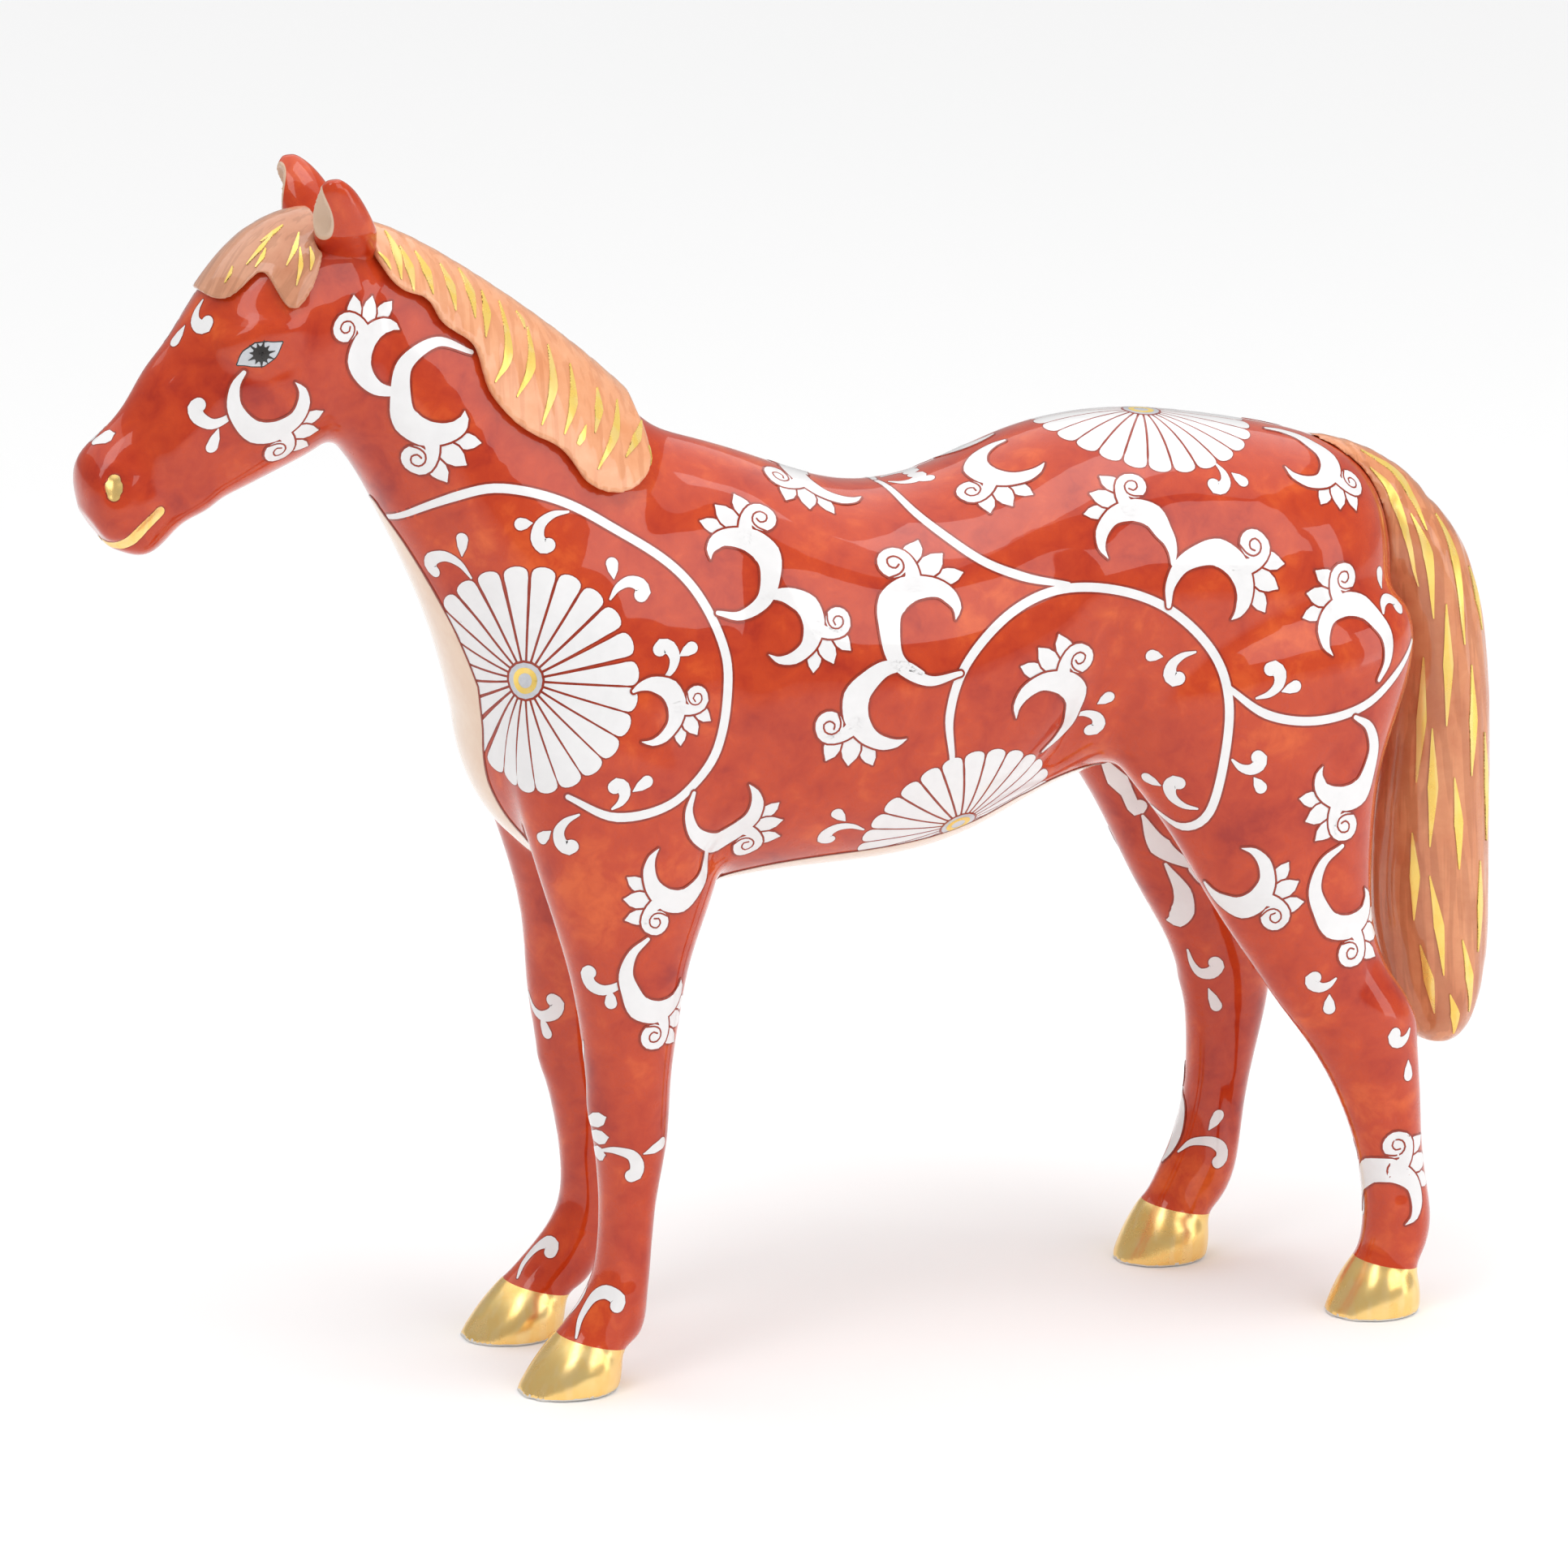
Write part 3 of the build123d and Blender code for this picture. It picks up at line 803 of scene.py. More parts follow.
def rounded_ends(points, widths, bulge):
    """Adds a round end to each end of a stroke; widths are half widths, and a bulge of 1 is half-round."""
    caps = [radians(a) for a in (88, 68, 48, 25)]
    first, last = (points[0] - points[1]).normalized(), (points[-1] - points[-2]).normalized()
    start = [(points[0] + first * bulge * widths[0] * sin(a), widths[0] * cos(a)) for a in caps]
    end = [(points[-1] + last * bulge * widths[-1] * sin(a), widths[-1] * cos(a)) for a in reversed(caps)]
    body = list(zip(points, widths))
    every = start + body + end
    return [p for p, _ in every], [w for _, w in every]


class Paint:
    """One colour of brushwork: thin closed strokes gathered into one piece."""

    def __init__(self, name, material, slot=None):
        self.name, self.material, self.slot = name, material, slot
        self.points, self.faces, self.normals = [], [], []

    def stroke(self, surface, line, widths, coat=0, step=BRUSH_STEP, bulge=1.0):
        """A stroke along points that lie on the surface. widths are half widths, as line's unit."""
        points, spread = curve_through(line, widths, step * MM)
        points, spread = rounded_ends(points, spread, bulge)
        lift = (FIRST_COAT + COAT * coat) * MM
        widest = max(spread)
        across = 4 if widest < BROAD * MM else max(6, round(widest / (BRISTLE * MM)))
        if widest < SLIM * MM:
            across = 2
        ways = [
            (points[min(n + 1, len(points) - 1)] - points[max(n - 1, 0)]).normalized()
            for n in range(len(points))
        ]
        base, rows = len(self.points), []
        for place, half, way in zip(points, spread, ways):
            place, normal = surface.nearest(place)
            side = normal.cross(way).normalized()
            row = []
            for k in range(across + 1):
                share = 2 * k / across - 1
                found, up = surface.nearest(place + side * half * share)
                row.append((found, up))
            rows.append(row)
        for depth in (lift, -SINK * MM):
            for row in rows:
                for found, up in row:
                    self.points.append(found + up * depth)
                    self.normals.append(up)
        self.weave(base, len(rows), across + 1)

    def weave(self, base, long, wide):
        """Faces of one stroke: its top, its underside and the wall between them."""
        under = long * wide

        def at(n, k, layer=0):
            return base + layer * under + n * wide + k

        for n in range(long - 1):
            for k in range(wide - 1):
                self.faces.append((at(n, k), at(n + 1, k), at(n + 1, k + 1), at(n, k + 1)))
                self.faces.append((at(n, k, 1), at(n, k + 1, 1), at(n + 1, k + 1, 1), at(n + 1, k, 1)))
        rim = [(n, 0) for n in range(long)] + [(long - 1, k) for k in range(1, wide)]
        rim += [(n, wide - 1) for n in range(long - 2, -1, -1)] + [(0, k) for k in range(wide - 2, 0, -1)]
        for (n, k), (m, j) in zip(rim, rim[1:] + rim[:1]):
            self.faces.append((at(m, j), at(n, k), at(n, k, 1), at(m, j, 1)))

    def dry(self):
        """Turns the gathered strokes into a finished piece."""
        mesh = bpy.data.meshes.new(self.name)
        mesh.from_pydata(self.points, [], self.faces)
        mesh.update()
        bm = bmesh.new()
        bm.from_mesh(mesh)
        bmesh.ops.recalc_face_normals(bm, faces=bm.faces)
        bm.to_mesh(mesh)
        bm.free()
        piece = bpy.data.objects.new(self.name, mesh)
        bpy.context.scene.collection.objects.link(piece)
        smooth_shading(piece)
        mesh.normals_split_custom_set_from_vertices(self.normals)
        return settle(piece, self.material)


class Motif:
    """A flat drawing laid on the skin round a centre, turned, sized, and mirrored on the right side."""

    def __init__(self, surface, centre, side, turn=0.0, size=1.0, hand=1):
        place = Vector((centre[0], centre[1] * -side, centre[2])) * MM
        self.surface, self.hand, self.size = surface, hand, size
        self.centre, self.normal = surface.nearest(place)
        self.across = (Vector((1, 0, 0)) - self.normal * self.normal.x).normalized()
        self.upright = self.normal.cross(self.across) * -side
        self.turn = radians(turn)

    def walk(self, x, y):
        """The place reached by walking over the skin from the centre, so that curves keep their size."""
        reach = hypot(x, y)
        place, normal = self.centre, self.normal
        if reach < 0.01:
            return place
        steps = ceil(reach / STRIDE)
        way = self.across * x + self.upright * y
        for _ in range(steps):
            way = (way - normal * way.dot(normal)).normalized()
            place, normal = self.surface.nearest(place + way * (reach / steps * MM))
        return place

    def lay(self, flat):
        """Flat points in the drawing's own mm, laid onto the skin."""
        laid = []
        for a, b in flat:
            b *= self.hand
            x = (a * cos(self.turn) - b * sin(self.turn)) * self.size
            y = (a * sin(self.turn) + b * cos(self.turn)) * self.size
            laid.append(self.walk(x, y))
        return laid

    def widths(self, half_widths):
        return [w * self.size * MM for w in half_widths]


def polar(*pairs):
    return [(r * cos(radians(a)), r * sin(radians(a))) for a, r in pairs]


class Brushwork:
    """A white paint and the dark paint that outlines it."""

    def __init__(self, name):
        self.white = Paint(name + "_reserve", WHITE)
        self.dark = Paint(name + "_outlines", BROWN)

    def outlined(self, motif, flat, half_widths, coat, step=BRUSH_STEP, line=LINE, bulge=1.0):
        laid, widths = motif.lay(flat), motif.widths(half_widths)
        self.dark.stroke(motif.surface, laid, [w + line * MM for w in widths], 2 * coat, step, bulge)
        self.white.stroke(motif.surface, laid, widths, 2 * coat + 1, step, bulge)

    def line(self, motif, flat, half_width, coat):
        laid = motif.lay(flat)
        self.dark.stroke(motif.surface, laid, motif.widths([half_width] * len(laid)), coat, FINE_STEP)

    def dry(self):
        self.dark.dry()
        self.white.dry()


def dot(place, radius):
    """A round dab as a very short stroke."""
    x, y = place
    return [(x - 0.02, y), (x + 0.02, y)], [radius, radius]


PETAL = (0.7, 1.0, 1.02, 0.74, 0.12)  # a petal's fullness from its foot to its point
VOLUTE = (83, 8.9)  # angle and distance of the volute's middle from the crescent's centre


def palmette(work, motif, horn, root):
    """A crescent round its centre, with a volute and three petals on its back.

    horn and root are the (angle, radius) of the crescent's two ends.
    """
    (horn_angle, horn_reach), (root_angle, root_reach) = horn, root
    body, widths = [], [0.05, 0.5, 0.85, 1.0, 1.25, 1.6, 1.7, 1.3, 0.95, 0.6, 0.28]
    for t in (0, 0.3, 0.65, 1):
        body.append((horn_angle + (40 - horn_angle) * t, horn_reach + (4.9 - horn_reach) * t**0.6))
    body += [(60, 5.05), (86, 5.35), (112, 5.5), (138, 5.1)]
    for t in (0.35, 0.7, 1):
        body.append((138 + (root_angle - 138) * t, 5.1 + (root_reach - 5.1) * t))
    petals = [
        ([(54, 5.9), (43, 6.3), (34, 6.9), (29, 7.4), (25, 7.9)], 0.95),
        ([(74, 6.4), (61, 7.0), (52, 7.8), (47.5, 8.6), (44, 9.3)], 1.2),
        ([(77, 8.0), (69, 8.9), (64, 9.6), (61, 10.2), (59, 10.9)], 1.05),
    ]
    for coat, (middle, wide) in enumerate(petals):
        work.outlined(motif, polar(*middle), [wide * share for share in PETAL], coat)

    def by_volute(*places):
        """Points by their way outwards and towards the petals from the volute's middle."""
        (vx, vy), c, s = polar(VOLUTE)[0], cos(radians(VOLUTE[0])), sin(radians(VOLUTE[0]))
        return [(vx + out * c + near * s, vy + out * s - near * c) for out, near in places]

    neck = by_volute((-3.4, 0.6), (-2.3, 1.35), (-1.0, 1.75), (0.3, 1.6), (1.0, 0.9), (1.1, 0.1))
    neck_widths = [1.1, 0.85, 0.75, 0.7, 0.7, 0.7]
    dab = by_volute((0.0, -0.02), (0.0, 0.02))
    for flat, half_widths in ((neck, neck_widths), (dab, [1.8, 1.8]), (polar(*body), widths)):
        work.outlined(motif, flat, half_widths, 3)
    inner = [(-0.5, 0.6), (-0.7, 0.0), (-0.15, -0.55), (0.65, -0.3)]
    outer = [(0.65, 0.65), (-0.15, 1.2), (-1.1, 0.9), (-1.5, 0.0), (-1.4, -1.2)]
    work.line(motif, by_volute(*inner, *outer), 0.12, 8)


def sprig(work, surface, side, tail_end, head_end, bud_tip, bud_round, bare=False):
    """A comma whose head curls in, and a bud beside it on its outer side unless it's bare."""
    points = [Vector((x, y * -side, z)) * MM for x, y, z in (tail_end, head_end, bud_tip, bud_round)]
    tail_end, head_end, bud_tip, bud_round = points
    middle, normal = surface.nearest((tail_end + head_end) / 2)
    way = head_end - tail_end
    over = normal.cross(way)
    if over.dot(bud_tip - middle) < 0:
        over = -over
    over = over.normalized() * way.length
    comma = [(0, 0), (0.31, 0.3), (0.7, 0.42), (1.02, 0.28), (1.1, 0.04), (1.0, -0.06)]
    line = [surface.nearest(tail_end + a * way + b * over)[0] for a, b in comma]
    widths = [w * MM for w in (0.14, 0.42, 0.66, 0.85, 0.92, 0.85)]
    bud = [surface.nearest(bud_tip.lerp(bud_round, t))[0] for t in (0, 0.4, 0.8)]
    bud_widths = [w * MM for w in (0.08, 0.58, 0.76)]
    for path, wide in ((line, widths), (bud, bud_widths))[: 1 if bare else 2]:
        work.dark.stroke(surface, path, [w + SPRIG_LINE * MM for w in wide], 0, FINE_STEP)
        work.white.stroke(surface, path, wide, 1, FINE_STEP)


PETAL_BULGE = 0.6  # how round a rosette petal's end is
PETAL_GAP = 0.15  # half the bare line between two petals
ROSETTE_EYE = 2.2  # radius of a rosette's grey disc, where its petals start
RING_RADIUS, RING_WIDTH = 1.25, 0.34


def rosette(work, grey, gold, surface, centre, side, radius, petals=25):
    """A chrysanthemum: petals round a grey disc with a gold ring."""
    motif = Motif(surface, centre, side)
    slim = pi / petals
    tip = radius / (1 + PETAL_BULGE * slim)
    reaches = (ROSETTE_EYE, 0.4 * tip, 0.75 * tip, 0.95 * tip, tip)
    half_widths = [r * slim - PETAL_GAP for r in reaches]
    half_widths[-1] *= 0.95
    for n in range(petals):
        angle = 360 * n / petals + 3
        line = polar(*((angle, r) for r in reaches))
        work.outlined(motif, line, half_widths, 0, 1.1, 0.2, PETAL_BULGE)
    for paint, size, coat in ((work.dark, ROSETTE_EYE + 0.3, 3), (grey, ROSETTE_EYE, 4)):
        flat, wide = dot((0, 0), size)
        paint.stroke(surface, motif.lay(flat), motif.widths(wide), coat)
    ring = polar(*((a, RING_RADIUS) for a in range(0, 361, 30)))
    gold.stroke(surface, motif.lay(ring), motif.widths([RING_WIDTH] * len(ring)), 5, FINE_STEP)


def stem(work, surface, side, corners, half_width=0.55):
    """A long even stem through points on the skin."""
    line = [surface.nearest(Vector((x, y * -side, z)) * MM)[0] for x, y, z in corners]
    widths = [half_width * MM] * len(line)
    widths[0] = widths[-1] = 0.6 * half_width * MM
    work.dark.stroke(surface, line, [w + LINE * MM for w in widths], 0, 0.9)
    work.white.stroke(surface, line, widths, 1, 0.9)


# ---------------------------------------------------------------- the painted layout, left side
# A palmette's centre, turn, size, hand, and the angle and radius of its horn and of its root
PALMETTES = [
    ((-53.8, -8.5, 128.2), 66, 0.86, 1, (15, 4.1), (222, 4.1)),
    ((-48.6, -9.0, 124.1), -30, 0.98, -1, (12, 3.8), (285, 6.4)),
    ((-69.2, -8.0, 125.0), 3, 0.89, -1, (-25, 3.7), (226, 4.8)),
    ((-26.3, -18.0, 85.2), -68, 0.74, 1, (-35, 4.4), (185, 4.5)),
    ((-14.3, -15.0, 100.7), 137, 0.95, -1, (0, 3.4), (255, 5.2)),
    ((-9.6, -17.6, 94.2), -79, 0.85, 1, (-35, 3.7), (187, 4.8)),
    ((9.6, -18.5, 92.8), 29, 1.06, 1, (-10, 3.2), (272, 6.0)),
    ((4.7, -20.0, 84.1), -86, 0.97, -1, (-14, 4.4), (224, 5.3)),
    ((-16.4, -16.8, 72.8), 26, 0.90, -1, (-18, 4.8), (239, 5.3)),
    ((3.3, -2.6, 109.0), -82, 1.00, -1, (-25, 4.2), (150, 5.5)),
    ((25.4, -5.6, 110.8), -70, 0.93, -1, (-16, 4.5), (196, 4.0)),
    ((35.9, -17.3, 100.6), 162, 0.91, -1, (-34, 3.9), (186, 6.0)),
    ((45.2, -18.9, 94.3), -42, 1.03, 1, (0, 4.3), (229, 5.0)),
    ((64.8, -18.8, 86.9), 174, 0.96, -1, (-25, 3.6), (224, 6.3)),
    ((61.1, -8.3, 108.7), -100, 0.93, 1, (-35, 3.6), (206, 6.4)),
    ((23.8, -18.2, 80.9), 137, 0.98, -1, (-31, 3.7), (208, 6.0)),
    ((63.4, -19.6, 72.9), 189, 0.98, 1, (5, 3.2), (243, 5.3)),
    ((49.3, -18.2, 59.3), 41, 0.90, -1, (-36, 4.0), (180, 5.0)),
    ((64.6, -19.3, 56.3), -8, 0.94, -1, (5, 3.2), (249, 6.0)),
    ((-22.1, -17.7, 66.5), 164, 0.86, 1, (-22, 4.3), (217, 5.2)),
]
# A sprig's comma from tail to head, then its bud from point to root, and True where it's bare
SPRIGS = [
    ((-75.5, -2.0, 135.5), (-75.5, -4.0, 133.0), (-77.5, -1.6, 132.4), (-79.0, -1.6, 130.3)),
    ((-73.0, -7.5, 123.8), (-77.2, -6.0, 123.6), (-75.2, -6.8, 121.0), (-76.0, -6.0, 118.2)),
    ((-45.5, -10.0, 101.5), (-49.0, -6.5, 102.2), (-46.5, -9.7, 104.2), (-46.6, -10.3, 106.9)),
    ((-34.0, -12.5, 109.3), (-37.0, -13.3, 105.8), (-38.6, -12.7, 108.3), (-40.3, -12.4, 108.2)),
    ((-29.8, -15.4, 99.0), (-26.0, -15.3, 99.4), (-29.1, -14.7, 101.3), (-29.1, -14.1, 103.5)),
    ((-24.0, -17.7, 89.2), (-24.0, -17.0, 92.8), (-21.8, -17.3, 91.9), (-19.9, -17.1, 92.9)),
    ((-30.6, -18.0, 74.1), (-30.1, -17.9, 76.8), (-28.1, -17.9, 76.2), (-26.1, -17.8, 77.5)),
    ((-34.4, -17.0, 73.4), (-35.2, -16.0, 69.5), (-37.2, -14.8, 71.1), (-38.1, -13.3, 69.7)),
    ((2.6, -14.0, 68.1), (-1.6, -13.3, 67.0), (-0.2, -15.3, 69.6), (-1.8, -16.3, 71.0)),
    ((10.5, -1.5, 108.0), (14.0, -1.0, 108.4), (13.4, -2.8, 108.2), (15.4, -3.2, 108.4)),
    ((49.2, -11.3, 108.8), (48.3, -13.5, 106.8), (51.0, -12.2, 107.8), (52.4, -13.1, 106.7)),
    ((43.9, -18.0, 87.6), (41.7, -18.0, 84.5), (39.6, -18.2, 87.4), (37.8, -18.4, 87.7)),
    ((29.1, -17.0, 79.8), (31.9, -15.4, 78.0), (32.0, -17.3, 81.3), (33.5, -17.6, 82.4)),
    ((51.3, -20.3, 81.6), (53.4, -20.2, 84.9), (54.6, -20.6, 82.2), (56.8, -20.3, 82.8)),
    ((48.4, -20.0, 74.0), (51.6, -20.3, 74.0), (51.2, -20.2, 71.6), (52.3, -20.2, 70.0)),
    ((44.7, -18.0, 67.7), (42.2, -17.5, 70.9), (40.7, -16.0, 70.6), (39.0, -14.8, 71.7)),
    ((69.9, -15.9, 89.8), (72.6, -13.8, 90.0), (71.8, -14.0, 93.0), (71.8, -13.0, 94.6)),
]
# Stems: round the shoulder rosette, down from the back, round the flank, and over the thigh
STEMS = [
    [
        (-53.3, -2.6, 108.1), (-47.4, -10.2, 111.6), (-41.8, -11.6, 112.5), (-33.9, -12.0, 110.1),
        (-25.2, -13.3, 105.0), (-19.7, -15.0, 100.0), (-16.4, -17.3, 93.2), (-16.0, -18.6, 87.5),
        (-17.7, -18.0, 79.6), (-22.8, -18.0, 74.5), (-30.0, -18.2, 73.0), (-35.6, -16.6, 75.6),
    ],
    [
        (9.3, -0.5, 108.0), (11.2, -9.6, 105.5), (16.4, -15.1, 100.8), (21.8, -17.3, 98.3),
        (27.4, -18.0, 97.0),
    ],
    [
        (12.3, -18.5, 76.7), (11.5, -19.6, 82.6), (13.6, -19.8, 88.5), (19.3, -18.5, 93.8),
        (25.8, -18.0, 96.4), (33.0, -18.5, 96.2), (40.1, -19.0, 93.3), (46.0, -18.5, 87.6),
        (47.8, -19.9, 81.8), (47.5, -19.9, 74.7), (46.1, -18.5, 67.3), (43.4, -15.9, 64.9),
        (39.0, -13.0, 65.5),
    ],
    [
        (47.5, -19.7, 83.3), (52.6, -20.4, 79.5), (59.2, -20.2, 78.1), (66.2, -18.9, 79.1),
        (71.4, -16.8, 82.3), (74.6, -13.8, 85.5),
    ],
]
ROSETTES = {
    "shoulder": ((-39.7, -13.3, 89.4), 14.0),
    "belly": ((15.7, -12.0, 66.9), 13.0),
}
# By leg, as (fore, side)
LEG_SPRIGS = {
    (True, LEFT): [
        ((-28.1, -17.0, 53.4), (-32.4, -14.8, 53.0), (-30.5, -16.5, 51.0), (-30.5, -16.5, 49.0)),
        ((-30.6, -13.0, 30.3), (-27.4, -15.6, 27.7), (-26.1, -15.9, 30.2), (-23.1, -14.4, 31.3)),
        ((-34.3, -14.3, 7.3), (-29.6, -15.2, 11.4), (-33.5, -15.0, 11.5), (-33.0, -15.0, 13.5), True),
    ],
    (True, RIGHT): [
        ((-31.5, -14.5, 44.5), (-29.2, -15.5, 43.3), (-30.7, -15.5, 41.2), (-30.0, -15.5, 38.5)),
        ((-31.2, -15.0, 10.0), (-28.6, -15.2, 13.5), (-27.0, -15.2, 12.5), (-26.5, -15.2, 14.8)),
    ],
    (False, LEFT): [
        ((62.7, -19.8, 45.0), (60.0, -19.4, 45.1), (62.0, -19.5, 42.9), (62.1, -19.3, 40.7)),
        ((73.4, -18.4, 37.2), (71.0, -19.4, 36.8), (73.1, -18.7, 33.2), (73.1, -18.7, 30.9)),
    ],
    (False, RIGHT): [
        ((62.0, -18.8, 40.5), (58.8, -18.8, 39.4), (60.5, -18.8, 36.4), (61.9, -18.8, 34.0)),
        ((57.6, -18.5, 15.2), (62.2, -18.8, 14.3), (61.0, -18.5, 18.3), (62.6, -18.5, 20.5)),
    ],
}
# By leg, each as in PALMETTES
LEG_PALMETTES = {
    (True, LEFT): [((-24.0, -16.7, 52.7), -16, 0.88, -1, (9, 4.0), (230, 6.0))],
    (False, LEFT): [((70.7, -18.1, 13.9), -1, 0.97, 1, (-34, 3.3), (190, 5.4))],
    (True, RIGHT): [((-22.4, -16.7, 52.7), -16, 0.88, -1, (9, 4.0), (230, 6.0))],
    (False, RIGHT): [((58.0, -18.1, 14.5), -1, 0.97, 1, (-34, 3.3), (190, 5.4))],
}
# Single petals from foot to point: on the bridge of the nose, and on the left round the front of the knee
NOSE_PETAL = ((-88.3, -0.7, 119.2), (-86.6, -2.0, 120.4))
PETALS = {
    LEFT: [
        NOSE_PETAL,
        ((-31.6, -11.5, 33.6), (-30.3, -14.3, 34.8)),
        ((-31.8, -11.2, 31.6), (-30.3, -14.5, 32.2)),
        ((-31.9, -11.2, 29.6), (-30.5, -13.7, 29.8)),
    ],
    RIGHT: [NOSE_PETAL],
}
# Inner faces of the legs: crescents as (places, half widths), then sprigs; y is the leg's own side
INNER_CRESCENTS = [
    ([(41.0, 6.0, 68.0), (43.5, 6.3, 64.5), (47.0, 7.3, 61.6)], [0.2, 1.5, 0.3]),
    ([(48.0, 7.8, 60.3), (50.8, 8.7, 56.2), (55.5, 8.2, 53.0)], [0.2, 1.5, 0.2]),
    ([(51.6, 8.8, 53.6), (54.2, 9.6, 50.0), (54.4, 9.8, 47.0), (52.8, 10.0, 44.8), (50.6, 10.4, 43.6)],
     [0.2, 1.1, 1.5, 1.2, 0.2]),
    ([(44.6, 6.4, 64.2), (44.8, 6.0, 62.0), (46.2, 6.6, 60.4), (47.0, 6.6, 61.4)], [0.9, 0.8, 0.9, 0.9]),
    ([(55.2, 8.6, 53.2), (56.6, 8.6, 51.4), (58.2, 9.0, 51.2), (58.2, 9.0, 52.4)], [0.8, 0.7, 0.8, 0.8]),
]
INNER_SPRIGS = [
    ((54.5, 10.6, 40.5), (59.0, 10.3, 39.4), (58.5, 11.0, 35.9), (59.9, 11.0, 33.2)),
    ((55.6, 13.2, 14.2), (60.2, 11.1, 13.3), (59.0, 11.3, 17.3), (60.6, 11.0, 19.5)),
    ((-33.4, 11.6, 43.6), (-29.6, 8.2, 43.3), (-30.9, 9.5, 41.2), (-30.2, 9.0, 38.5)),
    ((-34.2, 9.8, 7.9), (-30.6, 8.6, 11.6), (-33.4, 9.4, 11.4), (-31.8, 8.8, 14.2), True),
]
# The pale stripe from throat to groin: places on the middle plane, and half widths
STRIPE = [
    ((-57.0, 0, 107.5), 1.2),
    ((-54.0, 0, 104.0), 3.2),
    ((-51.0, 0, 98.5), 5.0),
    ((-48.5, 0, 93.0), 6.6),
    ((-46.5, 0, 87.0), 8.0),
    ((-45.0, 0, 81.0), 6.6),
    ((-43.0, 0, 75.0), 5.2),
    ((-38.5, 0, 66.5), 5.0),
    ((-33.0, 0, 61.5), 5.0),
    ((-24.0, 0, 58.5), 6.5),
    ((-13.0, 0, 59.0), 9.5),
    ((0.0, 0, 60.0), 12.0),
    ((15.0, 0, 62.0), 13.5),
    ((26.0, 0, 66.0), 14.0),
    ((34.0, 0, 70.0), 10.0),
    ((39.0, 0, 71.0), 4.0),
]


def paint_side(side_name, side):
    """All the brushwork of one side of the body, and of its legs."""
    palmettes = Brushwork(side_name + "_palmettes")
    for centre, turn, size, hand, horn, root in PALMETTES:
        palmette(palmettes, Motif(BODY, centre, side, turn, size, hand), horn, root)
    sprigs = Brushwork(side_name + "_sprigs")
    for one in SPRIGS:
        sprig(sprigs, BODY, side, *one)
    stems = Brushwork(side_name + "_stems")
    for corners in STEMS:
        stem(stems, BODY, side, corners)
    flowers = Brushwork(side_name + "_rosettes")
    grey = Paint(side_name + "_rosette_discs", EYE_GREY)
    gold = Paint(side_name + "_rosette_rings", BRIGHT_GOLD, "gilding")
    for centre, radius in ROSETTES.values():
        rosette(flowers, grey, gold, BODY, centre, side, radius)
    legs = Brushwork(side_name + "_leg_scrolls")
    for fore in (True, False):
        for centre, turn, size, hand, horn, root in LEG_PALMETTES[fore, side]:
            palmette(legs, Motif(BODY, centre, side, turn, size, hand), horn, root)
        for one in LEG_SPRIGS[fore, side]:
            sprig(legs, BODY, side, *one)
    for foot, point in PETALS[side]:
        line = [Vector((x, y * -side, z)) * MM for x, y, z in (foot, point)]
        line = [BODY.nearest(line[0].lerp(line[1], t))[0] for t in (0, 0.5, 0.8, 1)]
        legs.dark.stroke(BODY, line, [w * MM for w in (0.75, 1.1, 0.95, 0.3)], 0, FINE_STEP)
        legs.white.stroke(BODY, line, [w * MM for w in (0.6, 0.95, 0.8, 0.12)], 1, FINE_STEP)
    for places, half_widths in INNER_CRESCENTS:
        line = [BODY.nearest(Vector((x, y * side, z)) * MM)[0] for x, y, z in places]
        legs.dark.stroke(BODY, line, [(w + LINE) * MM for w in half_widths], 0)
        legs.white.stroke(BODY, line, [w * MM for w in half_widths], 1)
    for one in INNER_SPRIGS:
        sprig(legs, BODY, -side, *one)
    for work in (palmettes, sprigs, stems, flowers, legs, grey, gold):
        work.dry()


def paint_middle():
    """What lies on the middle plane: the croup rosette and the pale stripe."""
    flowers = Brushwork("croup_rosette")
    grey = Paint("croup_rosette_disc", EYE_GREY)
    gold = Paint("croup_rosette_ring", BRIGHT_GOLD, "gilding")
    rosette(flowers, grey, gold, BODY, (43.8, -0.5, 114.0), LEFT, 13.9)
    for work in (flowers, grey, gold):
        work.dry()
    stripe = Paint("chest_stripe", PALE_PEACH)
    edge = Paint("chest_stripe_outline", BROWN)
    line = [BODY.nearest(Vector(place) * MM)[0] for place, _ in STRIPE]
    widths = [w * MM for _, w in STRIPE]
    edge.stroke(BODY, line, [w + 0.3 * MM for w in widths], 6, 1.0)
    stripe.stroke(BODY, line, widths, 8, 1.0)
    edge.dry()
    stripe.dry()


LASHES = 11  # strokes that radiate from the pupil, long and short by turns


